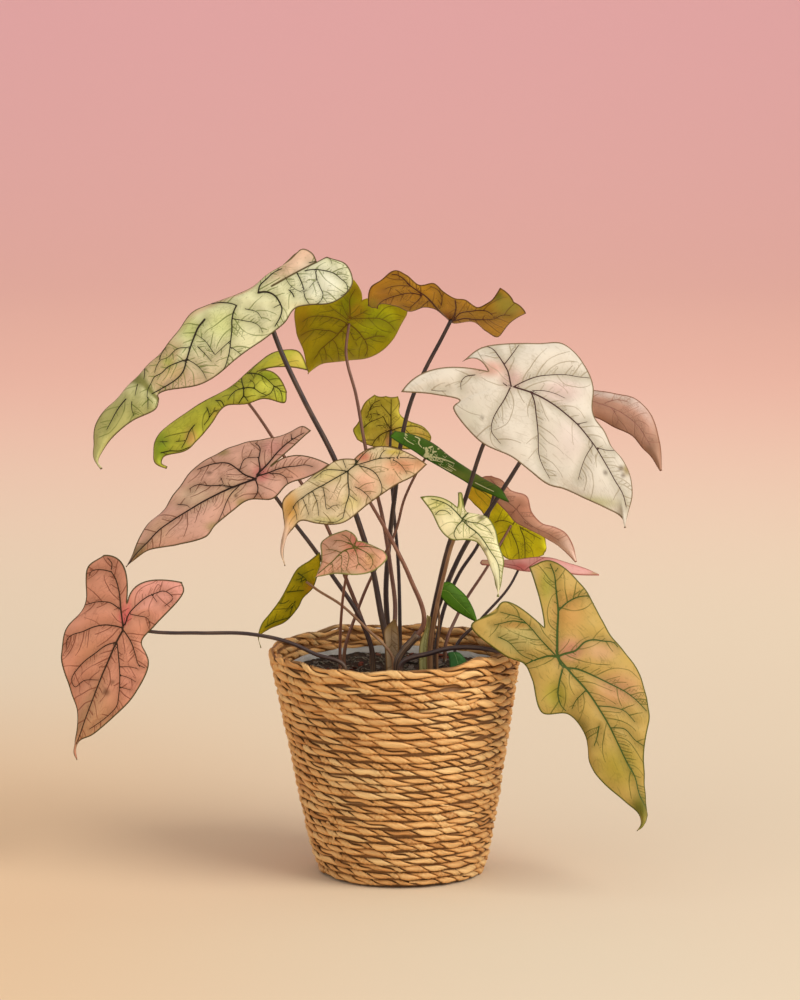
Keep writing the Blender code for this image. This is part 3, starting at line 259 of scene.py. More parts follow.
LOOKS = {
    "blade_pale_upper_left": Look(
        "leaf_pale_green", "#E7E4B5", "#60502B", "#2D2417", "#6E7830", "#A6A45B", (
        (10, 7, 258, 293, 260, 286, 266, 280, 275, 272, 282, 269),
        (15, 6, 258, 293, 263, 292, 270, 293, 276, 297, 280, 303, 282, 309, 281, 315, 275, 327),
        (5, 3, 280, 305, 274, 308), (9, 7, 212, 304, 223, 303, 232, 304, 237, 306),
        (11, 5, 237, 306, 234, 312, 232, 320, 232, 330, 231, 341, 228, 358, 223, 370, 218, 374),
        (6, 3, 231, 341, 224, 347, 215, 355), (6, 3, 215, 355, 205, 341, 197, 335),
        (5, 3, 231, 347, 242, 355), (6, 3, 233, 319, 245, 321, 254, 323, 260, 327, 263, 333),
        (6, 3, 245, 309, 258, 313, 262, 319),
        (15, 7, 205, 320, 199, 327, 193, 341, 187, 360, 183, 372, 177, 379, 169, 385, 152, 394),
        (9, 4, 187, 360, 177, 363, 168, 367, 161, 374, 155, 377, 151, 384, 148, 389, 147, 397),
        (6, 3, 188, 348, 178, 349, 167, 358, 161, 360),
        (8, 4, 166, 347, 161, 355, 159, 362, 156, 368, 155, 373), (6, 3, 145, 368, 145, 374, 144, 380),
        (6, 3, 138, 384, 136, 391, 135, 396), (6, 3, 188, 360, 195, 364, 203, 372, 207, 380),
        (6, 3, 198, 347, 205, 354, 212, 362), (9, 5, 297, 273, 301, 281, 304, 290, 305, 297, 310, 305),
        (8, 4, 305, 271, 314, 270, 325, 271, 333, 273, 341, 279, 347, 285, 347, 292, 340, 296),
        (7, 4, 316, 272, 317, 279, 320, 287, 323, 295, 320, 302, 310, 306), (4, 3, 317, 279, 308, 290),
        (5, 3, 309, 263, 317, 261, 324, 257, 330, 259, 332, 264),
        (4, 3, 285, 277, 290, 285, 297, 290, 303, 293), (9, 7, 289, 290, 292, 293, 294, 297),
        (10, 4, 126, 399, 120, 406, 116, 412, 111, 422, 107, 430), (6, 3, 132, 402, 132, 409, 134, 416),
        (6, 3, 148, 397, 148, 409)), ((0.8, 0.85, 1.9, 0.6, "#E4B89C", 0.95),
        (6, 1.1, 3, 0.45, "#D2AC87", 0.85), (8, -1.1, 1.6, 0.5, "#D7AE90", 0.85),
        (9.4, 0.2, 0.6, 1.4, "#D2AC7E", 0.75), (12.5, 0, 2.2, 3, "#B6B16C", 1),
        # The narrow dark olive tint at row 10.15 is painted shade where the blade turns over near its tip.
        (10.15, 0, 0.22, 3, "#747327", 0.85)), ((322, 283, 26, 22, "#F9F8E0", 0.9),
        (272, 318, 20, 14, "#DAD5AE", 0.6), (222, 325, 18, 16, "#D2D785", 0.7),
        (190, 330, 12, 12, "#BAC55E", 0.6), (205, 365, 18, 12, "#E3D7AD", 0.6),
        (176, 372, 10, 9, "#D0B16F", 0.6), (168, 362, 6, 5, "#B5C14C", 0.6))),
    # This leaf's colours are brightened: partly the leaf's own yellow-olive, partly a painted glow of the
    # light shining through it from behind.
    "blade_olive_back": Look(
        "leaf_olive", "#B3A611", "#9C8816", "#785D0D", "#787608", "#7D880D", (
        (7, 3, 349, 321, 343, 316, 336, 311, 329, 305), (5, 3, 350, 320, 345, 311, 341, 302),
        (8, 4, 350, 318, 350, 311, 350, 298, 355, 289),
        (7, 4, 347, 323, 339, 319, 331, 317, 322, 316, 314, 316, 307, 318, 302, 322),
        (8, 4, 347, 324, 341, 330, 335, 337, 328, 343, 321, 349, 317, 355, 314, 359),
        (6, 4, 338, 334, 331, 331, 324, 330, 316, 329, 307, 331, 301, 335),
        (5, 4, 332, 339, 336, 344, 338, 351, 339, 360), (5, 4, 324, 347, 326, 353, 326, 359),
        (5, 3, 342, 330, 346, 334), (6, 3, 351, 318, 360, 314, 368, 309),
        (6, 4, 351, 319, 360, 318, 368, 318, 378, 318, 386, 321, 392, 326, 395, 330),
        (9, 5, 351, 325, 358, 331, 364, 339, 367, 345, 367, 351, 365, 355),
        (6, 4, 366, 339, 375, 336, 385, 336), (5, 4, 350, 331, 354, 339, 357, 345),
        (4, 3, 355, 341, 360, 336), (4, 3, 347, 348, 354, 356)), (), ((378, 322, 22, 20, "#AEBA12", 0.8),
        (352, 350, 20, 12, "#BAB316", 0.7), (348, 305, 10, 12, "#909E0A", 0.8),
        (358, 290, 8, 8, "#A48F0E", 0.8), (357, 312, 8, 9, "#C09420", 0.8),
        (303, 320, 8, 22, "#AC890F", 0.7), (390, 315, 9, 7, "#C2C316", 0.6))),
    "blade_yellow_green_left": Look(
        "leaf_yellow_green", "#C8C846", "#6B5C23", "#37380E", "#5D6116", "#A49B3B", (
        (9, 7, 244, 396, 244, 389, 242, 382, 241, 376), (8, 5, 244, 396, 239, 403),
        (7, 5, 244, 396, 248, 401), (8, 4, 243, 389, 238, 390, 232, 394, 228, 400),
        (9, 4, 243, 389, 249, 388, 255, 389, 259, 392, 266, 395),
        (9, 5, 247, 373, 256, 374, 264, 377, 270, 382, 274, 386),
        (7, 4, 274, 386, 271, 393, 266, 396, 260, 397), (7, 4, 274, 386, 279, 389, 282, 395, 282, 402),
        (5, 3, 255, 389, 254, 383, 250, 380), (8, 6, 216, 401, 221, 401, 224, 406, 225, 409),
        (7, 4, 207, 408, 209, 413, 209, 418, 204, 425), (6, 4, 209, 418, 215, 411, 219, 410),
        (8, 5, 195, 425, 190, 431, 186, 441, 182, 448), (5, 4, 176, 442, 186, 441),
        (5, 4, 160, 442, 168, 442), (8, 5, 161, 453, 170, 451, 180, 451, 190, 447)), (), (
        (266, 390, 15, 10, "#EFF468", 0.95), (282, 398, 8, 8, "#EAF454", 0.9),
        (270, 376, 12, 5, "#A2B52A", 0.8), (290, 366, 14, 8, "#E2CE5A", 0.8),
        (300, 358, 8, 7, "#EFD96B", 0.7), (232, 387, 6, 4, "#657B15", 0.8),
        (217, 414, 6, 5, "#E2AB5D", 0.8), (191, 438, 6, 9, "#DBA968", 0.85),
        (205, 410, 20, 8, "#C4C63E", 0.6), (160, 446, 10, 18, "#99B323", 0.85),
        (240, 392, 10, 8, "#DAD84F", 0.7))),
    "blade_pink_left": Look(
        "leaf_pink", "#D3A390", "#52431D", "#2A1911", "#70432A", "#B28B69", (
        (12, 5, 257, 477, 260, 470, 259, 460, 260, 448, 255, 443),
        (13, 5, 257, 475, 268, 464, 278, 452, 291, 441, 304, 433), (6, 4, 292, 440, 291, 434),
        (12, 5, 256, 479, 245, 475, 236, 468, 230, 464, 219, 463, 210, 465, 197, 470),
        (15, 5, 256, 479, 239, 485, 219, 494, 201, 503, 190, 510, 172, 521, 161, 529, 149, 541, 139, 551,
         127, 566), (10, 4, 232, 487, 219, 486, 208, 486, 198, 485, 193, 487, 189, 490),
        (8, 4, 239, 486, 231, 494, 226, 503, 223, 511, 218, 522),
        (10, 4, 256, 481, 258, 488, 257, 494, 253, 499),
        (10, 4, 258, 476, 271, 472, 276, 470, 287, 467, 297, 466, 305, 465, 313, 467),
        (7, 4, 271, 474, 279, 474, 286, 478, 288, 484), (6, 3, 178, 505, 189, 507, 191, 510),
        (5, 3, 221, 478, 224, 485), (7, 3, 239, 471, 245, 459, 258, 458)), (
        (9.7, 0, 0.6, 3, "#81713D", 0.8),), ((262, 474, 9, 8, "#CC7573", 0.9),
        (276, 449, 14, 8, "#CE8E86", 0.7), (290, 474, 16, 7, "#D1987E", 0.7),
        (195, 497, 20, 12, "#D3B799", 0.7), (232, 490, 14, 12, "#D2B593", 0.6),
        (158, 530, 14, 14, "#CDA384", 0.6), (223, 453, 7, 4, "#807734", 0.7),
        (242, 503, 6, 5, "#928542", 0.7), (215, 527, 9, 5, "#8C8142", 0.7),
        (210, 474, 3, 2, BROWN_SPOT, 0.8), (236, 496, 2, 2, BROWN_SPOT, 0.7))),
    "blade_pink_far_left": Look(
        "leaf_pink", "#D7957B", "#4A4421", "#372516", "#834832", "#B07F5F", (
        (12, 5, 123, 626, 121, 608, 119, 590, 115, 577, 112, 572, 112, 563, 108, 558),
        (7, 4, 112, 572, 104, 570, 91, 572, 89, 577), (8, 4, 120, 609, 111, 603, 98, 602, 85, 605),
        (10, 4, 123, 628, 115, 626, 104, 625, 94, 627, 82, 632, 73, 635, 68, 639, 66, 649),
        (14, 5, 123, 630, 117, 641, 109, 660, 100, 681, 93, 699, 87, 715, 80, 734, 76, 744),
        (8, 4, 117, 642, 107, 645, 96, 653, 80, 666, 72, 682, 75, 687, 83, 681, 100, 680),
        (9, 4, 124, 631, 131, 642, 136, 657, 138, 664, 145, 668),
        (8, 4, 117, 642, 119, 660, 120, 678, 119, 696, 117, 706, 111, 713, 97, 724, 89, 729),
        (5, 3, 119, 667, 131, 667, 138, 669), (5, 3, 120, 675, 129, 678, 136, 682),
        (5, 3, 120, 687, 131, 690),
        (9, 4, 125, 625, 129, 614, 138, 604, 147, 597, 156, 593, 164, 591, 173, 598, 164, 607),
        (5, 3, 152, 595, 157, 602), (6, 3, 129, 614, 139, 616, 147, 618, 150, 624, 149, 629)), (
        (0.6, 0.75, 1.1, 0.5, "#EFAA9C", 0.95), (1.2, 0.03, 0.9, 0.16, "#EC7073", 0.9),
        (7.5, 0, 1.6, 3, "#C29A71", 0.7)), ((95, 590, 16, 12, "#DB9B81", 0.6),
        (90, 650, 14, 18, "#CB906E", 0.6), (128, 680, 10, 16, "#DF9781", 0.6),
        (107, 692, 4, 4, BROWN_SPOT, 0.7), (113, 682, 2.5, 2.5, BROWN_SPOT, 0.6))),
    "blade_cream_front": Look(
        "leaf_cream", "#E5CFA8", "#664E28", "#302E16", "#806A3B", "#BB9D72", (
        (11, 9, 351, 457, 356, 461, 355, 465, 350, 469, 348, 471),
        (10, 4, 348, 471, 348, 481, 349, 495, 346, 505, 343, 518),
        (4, 3, 343, 518, 336, 522, 326, 522, 314, 520),
        (9, 5, 348, 471, 336, 478, 324, 485, 313, 491, 303, 498, 295, 505, 293, 509),
        (7, 4, 346, 471, 336, 470, 324, 471, 318, 476, 314, 479), (5, 4, 343, 460, 346, 468),
        (7, 4, 357, 463, 362, 456, 369, 450, 376, 448),
        (7, 4, 357, 465, 367, 462, 377, 459, 388, 458, 397, 458, 408, 458, 416, 459),
        (6, 3, 379, 459, 383, 452, 386, 450), (5, 3, 398, 457, 400, 451),
        (6, 3, 388, 459, 397, 462, 404, 469, 407, 474),
        (8, 4, 359, 466, 367, 468, 375, 473, 380, 481, 382, 488, 380, 495, 376, 498),
        (6, 3, 355, 487, 361, 490, 367, 495, 372, 501), (5, 3, 349, 495, 357, 501),
        (6, 3, 323, 486, 325, 497, 328, 510, 333, 506, 339, 505), (6, 3, 313, 492, 317, 502, 319, 516),
        (5, 3, 303, 499, 307, 509, 309, 515), (5, 3, 293, 507, 296, 513, 297, 520)), (
        (8.3, 0, 1.5, 3, "#CFAB93", 0.9),), ((325, 474, 18, 9, "#E0CD89", 0.8),
        (332, 495, 12, 14, "#E3C19F", 0.7), (366, 485, 14, 16, "#E6AF91", 0.9),
        (352, 503, 10, 8, "#E0CB89", 0.8), (402, 466, 20, 9, "#DB9871", 0.95),
        (392, 480, 10, 8, "#D69E7B", 0.8), (363, 457, 9, 6, "#D78069", 0.95),
        (394, 452, 10, 4, "#D0B553", 0.95), (290, 508, 10, 18, "#D2983E", 0.9),
        (330, 521, 22, 4, "#E3D699", 0.9), (420, 463, 7, 7, "#C38B60", 0.8))),
    "blade_pink_small": Look(
        "leaf_pink", "#E8AE92", "#86874A", "#636026", "#A3724F", "#CA9D7A", (
        (10, 5, 354, 548, 346, 550, 341, 553, 333, 561, 326, 567, 318, 574),
        (9, 4, 354, 547, 356, 541, 357, 535), (7, 4, 353, 547, 350, 541, 345, 536, 342, 535),
        (7, 4, 354, 547, 361, 547, 371, 547, 378, 549), (7, 4, 354, 548, 357, 555, 358, 563, 356, 569),
        (7, 4, 356, 548, 365, 552, 371, 557, 373, 563, 370, 569),
        (6, 3, 346, 550, 349, 556, 348, 563, 346, 571), (6, 3, 341, 554, 342, 560, 341, 567, 342, 573),
        (5, 3, 332, 563, 333, 569, 333, 573), (6, 3, 351, 545, 342, 541, 333, 541),
        (6, 3, 339, 552, 333, 550, 326, 550), (5, 3, 358, 563, 363, 567, 366, 571)), (), (
        (360, 539, 8, 8, "#E06C6C", 0.95), (354, 548, 8, 6, "#E78B73", 0.8),
        (333, 552, 10, 12, "#DBB49E", 0.7), (371, 561, 8, 8, "#E6B07E", 0.8),
        (371, 556, 4, 3, "#88813D", 0.6), (345, 573, 16, 3, "#A39D73", 0.6))),
    "blade_green_turned": Look(
        "leaf_yellow_green", "#BDAE14", "#73710E", "#4A540A", "#6F710E", "#CFBE2B", (
        (9, 5, 298, 573, 305, 578, 308, 583), (8, 5, 287, 592, 294, 591, 304, 590),
        (6, 4, 279, 603, 284, 603, 289, 600), (7, 4, 295, 601, 291, 610, 290, 615),
        (6, 4, 293, 602, 285, 612), (8, 5, 265, 627, 274, 622, 287, 618, 294, 615),
        (5, 4, 302, 578, 296, 580), (5, 4, 305, 579, 300, 582)), (), ((300, 575, 8, 9, "#929110", 0.7),
        (312, 588, 7, 7, "#D99C29", 0.8), (285, 606, 12, 8, "#CDBC1C", 0.7))),
    "blade_brown_olive_top": Look(
        "leaf_brown_olive", "#CA9931", "#694818", "#572C1C", "#7B5119", "#8D8A29", (
        (13, 6, 449, 322, 444, 316, 437, 308, 430, 300, 423, 294, 418, 291, 410, 285, 403, 278, 396, 274,
         392, 274), (8, 4, 422, 295, 411, 293, 397, 295, 390, 297, 382, 301, 379, 304, 377, 308),
        (5, 3, 412, 286, 396, 285, 388, 287, 384, 289), (6, 3, 421, 297, 415, 303, 410, 307, 402, 305),
        (5, 3, 429, 300, 423, 305, 419, 309),
        (9, 5, 452, 322, 460, 313, 470, 311, 480, 310, 488, 311, 493, 315),
        (8, 4, 456, 320, 465, 318, 474, 319, 485, 319, 495, 318, 501, 315, 511, 315),
        (10, 5, 455, 300, 456, 307, 454, 315, 451, 320), (6, 3, 441, 305, 442, 297, 437, 289, 430, 286)),
        (), (
        (385, 294, 10, 10, "#C48E2F", 0.8), (420, 292, 14, 10, "#DEA631", 0.85),
        (396, 288, 9, 4, "#E5B23B", 0.6), (447, 318, 8, 7, "#92532F", 0.9),
        (478, 313, 18, 6, "#D0A438", 0.8), (508, 305, 16, 12, "#B3A93C", 0.95),
        (498, 296, 5, 5, "#787D14", 0.9), (373, 304, 6, 6, "#9E902B", 0.8),
        (410, 310, 18, 4, "#C29929", 0.7))),
    "blade_white_right": Look(
        "leaf_cream", "#D5CCBE", "#796343", "#432420", "#A4957B", "#C2B8A4", (
        (11, 5, 511, 386, 507, 370, 504, 365, 498, 356, 492, 349, 487, 347),
        (7, 4, 504, 365, 511, 356, 516, 349, 519, 345),
        (8, 3, 513, 387, 523, 382, 536, 377, 551, 375, 567, 375, 579, 377, 590, 378),
        (12, 5, 514, 387, 529, 392, 542, 398, 554, 405, 567, 415, 578, 425, 589, 439, 597, 450, 606, 465,
         614, 480, 622, 494, 626, 508),
        (9, 3, 531, 393, 534, 401, 536, 415, 538, 434, 539, 455, 543, 467, 550, 480),
        (9, 3, 510, 388, 504, 400, 497, 411, 493, 419, 492, 433, 495, 437, 501, 444),
        (6, 3, 475, 375, 465, 377, 461, 382, 461, 390), (6, 3, 488, 371, 482, 370, 478, 371),
        (7, 4, 507, 386, 503, 383), (5, 3, 532, 391, 543, 391, 556, 394, 565, 398),
        (5, 3, 592, 446, 586, 456, 581, 469, 578, 480), (5, 3, 597, 448, 604, 450, 614, 451),
        (5, 3, 578, 424, 587, 422), (3, 3, 430, 390, 438, 391, 447, 391)), (), (
        (490, 369, 20, 8, "#D29C8C", 0.8), (512, 380, 12, 9, "#D5ACA6", 0.8),
        (560, 392, 20, 12, "#D7BCB8", 0.8), (570, 440, 16, 22, "#D7C4BC", 0.6),
        (470, 420, 14, 16, "#CDC8B5", 0.6), (500, 339, 7, 6, "#A0A080", 0.8),
        (514, 338, 7, 5, "#C0948E", 0.8), (465, 361, 6, 5, "#BBAE7D", 0.9),
        (587, 503, 30, 7, "#B3AF75", 0.75), (620, 469, 3, 3, BROWN_SPOT, 0.8),
        (622, 476, 2.5, 2.5, BROWN_SPOT, 0.7), (605, 473, 2.5, 2.5, BROWN_SPOT, 0.7),
        (482, 418, 2, 2, BROWN_SPOT, 0.6), (626, 470, 4, 6, "#8C752D", 0.8))),
    "blade_pink_right_back": Look(
        "leaf_pink", "#C2927E", "#885C44", "#A36F5F", "#A37561", "#B18B6D", (
        (6, 4, 558, 378, 575, 395, 594, 402, 618, 411, 636, 424, 650, 445),
        (5, 3, 575, 395, 590, 389, 600, 391), (5, 3, 600, 405, 618, 400, 628, 402),
        (5, 3, 612, 409, 618, 420, 616, 426)), ((2.5, -0.95, 2.6, 0.45, "#D5BEB4", 0.95),
        (0.3, 0.3, 0.9, 1, "#A7785A", 0.85), (3, 0.6, 2, 0.5, "#B7866D", 0.7),
        (6.4, 0, 1.1, 3, "#A37C64", 0.8)), ()),
    "blade_lime_back": Look(
        "leaf_yellow_green", "#E7D752", "#887D28", "#5C4C18", "#887D27", "#ABAA39", (
        (9, 5, 391, 429, 391, 417, 391, 407, 391, 399),
        (8, 4, 391, 429, 386, 422, 383, 416, 378, 414, 372, 413), (6, 4, 390, 415, 385, 409, 381, 404),
        (7, 4, 363, 428, 370, 422, 377, 419, 382, 417), (8, 5, 391, 430, 383, 433, 376, 439, 371, 447),
        (5, 3, 376, 426, 382, 425, 386, 428),
        (8, 4, 392, 430, 397, 428, 403, 427, 412, 426, 421, 428, 427, 432),
        (6, 4, 370, 408, 374, 403, 380, 400), (5, 3, 368, 412, 374, 407, 382, 406),
        (5, 3, 366, 418, 370, 413, 372, 417, 369, 420), (6, 4, 403, 427, 408, 432, 412, 436)), (), (
        (371, 415, 8, 10, "#DAD242", 0.8), (383, 402, 12, 5, "#C0B236", 0.7),
        (391, 430, 6, 5, "#E7BA62", 0.7), (360, 430, 9, 8, "#BEC837", 0.8),
        (375, 440, 10, 8, "#F0DF5E", 0.7), (420, 432, 10, 8, "#F7D272", 0.7),
        (388, 441, 3, 7, "#E5A581", 0.8))),
    "blade_variegated_edge_on": Look(
        "leaf_dark_green", "#4A7A12", "#3A5A10", "#E6E6A8", "#3C6410", "#5E7A2A", (
        (9, 6, 405, 434, 407, 436), (7, 4, 404, 438, 407, 441, 414, 445),
        (8, 6, 415, 437, 420, 440, 418, 443, 422, 448), (22, 12, 426, 449, 427, 452, 425, 455),
        (14, 10, 429, 448, 432, 447), (12, 9, 433, 452, 436, 452), (12, 8, 438, 449, 441, 448),
        (12, 8, 445, 453, 447, 454), (13, 9, 429, 455, 432, 455),
        (14, 6, 423, 457, 430, 457, 437, 458, 447, 461, 454, 464), (8, 4, 430, 460, 436, 461, 443, 463),
        (9, 5, 439, 466, 446, 469, 452, 472), (7, 4, 448, 466, 456, 471),
        (7, 4, 475, 483, 485, 488, 494, 492)), ((4.9, 0.5, 0.7, 0.6, "#8C9A3A", 0.8),
        (6, 0, 1, 3, "#6E7E20", 0.7)), ()),
    "blade_pale_small_front": Look(
        "leaf_yellow_green", "#F7EDBD", "#71772A", "#3E4818", "#8E914C", "#CFC883", (
        (9, 5, 462, 519, 455, 511, 448, 505, 439, 501, 431, 499), (11, 8, 463, 518, 468, 513),
        (9, 3, 462, 520, 469, 527, 477, 533, 483, 540, 490, 551, 497, 562, 500, 588),
        (8, 4, 462, 521, 456, 528, 454, 535, 457, 540),
        (7, 3, 462, 519, 469, 522, 480, 524, 488, 529, 492, 535),
        (6, 4, 435, 515, 439, 511, 446, 511, 451, 515), (4, 3, 469, 538, 476, 533)), (
        (0.6, 0.7, 0.9, 0.6, "#CAC46B", 0.9),), ((438, 504, 12, 9, "#E5DD88", 0.85),
        (481, 518, 4, 3, BROWN_SPOT, 0.8), (486, 549, 2, 2, BROWN_SPOT, 0.7),
        (497, 575, 8, 16, "#EEE9C3", 0.7))),
    "blade_pink_back_right": Look(
        "leaf_pink", "#D8A48E", "#A8705C", "#A87462", "#B0806C", "#C49A80", (
        (7, 4, 490, 479, 494, 483, 497, 488), (6, 3, 520, 504, 514, 511, 509, 517),
        (6, 3, 524, 522, 532, 527),
        (6, 3, 495, 488, 503, 498, 515, 508, 524, 519, 534, 527, 547, 533, 559, 540)), (
        (8.3, 0, 1.3, 3, "#E9CABC", 0.95),), ((488, 480, 10, 8, "#CE9E80", 0.8),
        (520, 510, 12, 10, "#E0A08A", 0.7))),
    # This leaf's colours are brightened: partly the leaf's own yellow-green, partly a painted glow of the
    # light shining through it from behind.
    "blade_lime_back_right": Look(
        "leaf_olive", "#E3DE16", "#958B0F", "#6A630B", "#9D950F", "#BCBA18", (
        (9, 5, 514, 522, 507, 533, 502, 543, 500, 547), (8, 4, 511, 531, 517, 545, 519, 555, 519, 560),
        (8, 4, 520, 528, 524, 538, 525, 549, 525, 560), (7, 4, 519, 526, 530, 533, 541, 539),
        (7, 4, 495, 522, 500, 520, 507, 521, 512, 523), (7, 4, 472, 486, 483, 492, 492, 500, 495, 505)), (
        (0.8, 0, 1.8, 3, "#EFC92F", 0.9),), ((523, 540, 14, 12, "#E7E614", 0.7),
        (500, 530, 8, 10, "#FAEB2E", 0.6))),
    "blade_pink_edge_on": Look(
        "leaf_pink", "#E09C94", "#B06A5E", "#A8524E", "#C07C72", "#C98E80", (
        (6, 3, 524, 571, 518, 567, 509, 565, 503, 564), (6, 3, 524, 571, 535, 563, 546, 557)), (
        (0.2, 0, 0.9, 3, "#C09A78", 0.9), (5.6, 0.3, 1.3, 1, "#E9B4AC", 0.8),
        (7, 0, 0.5, 3, "#A8935C", 0.8)), ((520, 568, 9, 5, "#CC605C", 0.9),)),
    "blade_yellow_pink_right": Look(
        "leaf_orange_pink", "#BA9B52", "#555716", "#3D541D", "#555C1A", "#978B37", (
        (19, 6, 557, 657, 557, 633, 558, 611, 556, 591, 554, 574, 550, 563), (6, 4, 554, 574, 558, 568),
        (11, 4, 559, 610, 568, 602, 579, 597, 590, 597, 598, 604),
        (16, 5, 557, 657, 564, 654, 575, 651, 585, 642, 592, 640, 603, 641, 614, 643, 618, 648),
        (14, 5, 557, 657, 562, 666, 577, 669, 596, 677, 612, 685, 627, 693, 640, 704, 646, 711),
        (15, 6, 557, 657, 570, 672, 585, 689, 598, 707, 609, 726, 618, 744, 627, 763, 635, 779, 640, 796,
         646, 809), (15, 6, 557, 657, 551, 656, 538, 659, 524, 665),
        (10, 4, 557, 657, 540, 639, 529, 626, 520, 618, 507, 614, 500, 612),
        (9, 4, 525, 623, 512, 621, 503, 623, 494, 625),
        (13, 5, 562, 670, 559, 683, 558, 696, 562, 707, 566, 711), (8, 5, 599, 726, 596, 741, 594, 746),
        (7, 4, 612, 728, 624, 729, 636, 741, 644, 746), (7, 4, 585, 691, 575, 702, 572, 709),
        (7, 4, 599, 706, 611, 707, 624, 711, 635, 722), (6, 4, 498, 637, 507, 641, 522, 655, 535, 661)), (
        (12.5, 0, 0.9, 3, "#727424", 0.8),), ((568, 612, 16, 22, "#BE8E4A", 0.9),
        (547, 585, 8, 16, "#9F9638", 0.85), (570, 650, 14, 12, "#C4876D", 0.9),
        (600, 652, 16, 10, "#C4966C", 0.8), (515, 637, 26, 16, "#B6A868", 0.85),
        (515, 625, 16, 4, "#B48038", 0.7), (618, 690, 24, 18, "#C28E64", 0.85),
        (620, 765, 22, 22, "#9F8B2D", 0.9), (640, 810, 10, 16, "#6F701D", 0.9),
        (556, 695, 12, 14, "#9C922F", 0.85), (531, 580, 5, 12, "#AC9B6E", 0.8),
        (577, 730, 12, 14, "#6D6629", 0.85), (472, 624, 4, 4, "#987C48", 0.7))),
    "blade_lance_small": Look(
        "leaf_plain_green", "#558414", "#3E660C", "#7EA634", "#466E10", "#6A8A30", (
        (5, 3, 440, 590, 447, 591, 454, 598, 463, 607, 470, 614),), (), ()),
    "blade_seedling": Look(
        "leaf_plain_green", "#4A8448", "#3A6A34", "#8AB470", "#447A38", "#6A9450", (
        (4, 3, 454, 652, 457, 660, 459, 668),), (), ()),
    "sheath_papery": Look(
        "sheath", "#B79C7C", "#8A6A44", "#8E7252", "#7E6242", "#A08462", (
        (4, 3, 392, 626, 391, 645, 392, 670),), ((0.3, 0, 0.9, 3, "#A8874E", 0.8),
        (3.5, 0.3, 1.2, 1, "#8A7660", 0.6)), ()),
    "sheath_hanging": Look(
        "sheath", "#BCB87E", "#8A7A44", "#8E8A52", "#8A824C", "#A89C6C", (
        (4, 3, 428, 622, 424, 642, 423, 670),), ((0.3, 0, 0.8, 3, "#7A6040", 0.9),), ()),
}

# A stalk runs from the soil at its root's depth through these pixels to the joint of the leaf that has
# its name, or that it names. Its radii are in millimetres.
Stalk = namedtuple("Stalk", "slot root_depth root_radius joint_radius path leaf", defaults=("",))

STALKS = {
    "stalk_pale_upper_left": Stalk("stalk_brown", -2, 1.9, 1.5, (
        (388, 650), (381, 614), (373, 571), (355, 512), (335, 460), (304, 400), (283, 356))),
    "stalk_olive_back": Stalk("stalk_red", 8, 1.5, 0.9, (
        (394, 640), (395, 603), (391, 571), (383, 520), (366, 450), (356, 395), (346, 352))),
    "stalk_yellow_green_left": Stalk("stalk_red", 22, 1.4, 0.9, (
        (372, 655), (359, 612), (345, 576), (329, 531), (287, 461), (256, 413))),
    "stalk_pink_left": Stalk("stalk_brown", -6, 1.6, 1.1, (
        (373, 658), (361, 620), (332, 575), (317, 553), (289, 516), (272, 493))),
    "stalk_pink_far_left": Stalk("stalk_brown", -22, 1.3, 1.1, (
        (345, 668), (315, 654), (288, 642), (250, 634), (200, 633), (155, 632), (134, 629))),
    "stalk_cream_front": Stalk("stalk_red", -30, 1.8, 0.9, (
        (397, 664), (424, 622), (410, 578), (391, 539), (371, 504), (356, 479))),
    "stalk_pink_small": Stalk("stalk_red", -8, 1.0, 0.8, (
        (340, 657), (341, 620), (346, 578), (352, 556))),
    "stalk_green_turned": Stalk("stalk_tan", -20, 1.0, 0.8, (
        (393, 660), (365, 627), (340, 604), (316, 589))),
    "stalk_brown_olive_top": Stalk("stalk_brown", 38, 1.8, 1.2, (
        (388, 640), (386, 587), (389, 544), (396, 486), (402, 437), (413, 396), (426, 368), (444, 334))),
    "stalk_white_right": Stalk("stalk_brown", 2, 1.7, 1.2, (
        (428, 655), (440, 580), (450, 541), (463, 506), (484, 443), (504, 400))),
    "stalk_pink_right_back": Stalk("stalk_brown", 14, 1.8, 1.2, (
        (431, 641), (436, 614), (448, 582), (468, 541), (486, 515), (517, 467), (545, 419))),
    "stalk_lime_back": Stalk("stalk_brown", 50, 1.3, 0.9, (
        (400, 655), (398, 560), (393, 500), (390, 450))),
    "stalk_variegated": Stalk("stalk_red", 10, 1.1, 0.8, (
        (344, 657), (357, 612), (373, 574), (388, 548), (396, 530), (404, 500), (416, 474)),
        "blade_variegated_edge_on"),
    "stalk_pale_small_front": Stalk("stalk_tan", -10, 1.6, 1.0, (
        (430, 655), (436, 610), (444, 575), (452, 545), (457, 532))),
    "stalk_pink_back_right": Stalk("stalk_brown", 26, 1.5, 0.9, (
        (435, 657), (439, 629), (445, 606), (459, 574), (479, 543), (489, 513))),
    "stalk_lime_back_right": Stalk("stalk_red", 36, 1.2, 0.8, (
        (445, 650), (458, 614), (489, 564), (499, 546))),
    "stalk_pink_edge_on": Stalk("stalk_brown", 12, 1.1, 0.8, (
        (455, 650), (481, 619), (511, 584))),
    "stalk_yellow_pink_right": Stalk("stalk_brown", -38, 1.7, 1.3, (
        (401, 665), (431, 653), (452, 648), (478, 648), (498, 651), (538, 657))),
    "stalk_lance_small": Stalk("stalk_tan", 13, 0.9, 0.6, (
        (437, 655), (439, 615), (438, 598))),
}

STUBBED_STALK = "stalk_cream_front"


def distance_setting(name, description, default):
    return FloatProperty(name=name, description=description, default=default, min=0, unit="LENGTH")


def count_setting(name, description, default, least=0):
    return IntProperty(name=name, description=description, default=default, min=least)


def number_setting(name, description, default, most=1000):
    return FloatProperty(name=name, description=description, default=default, min=0, max=most)


def colour_setting(name, description, code):
    return FloatVectorProperty(
        name=name, description=description, default=paint(code), size=3, min=0, max=1, subtype="COLOR")


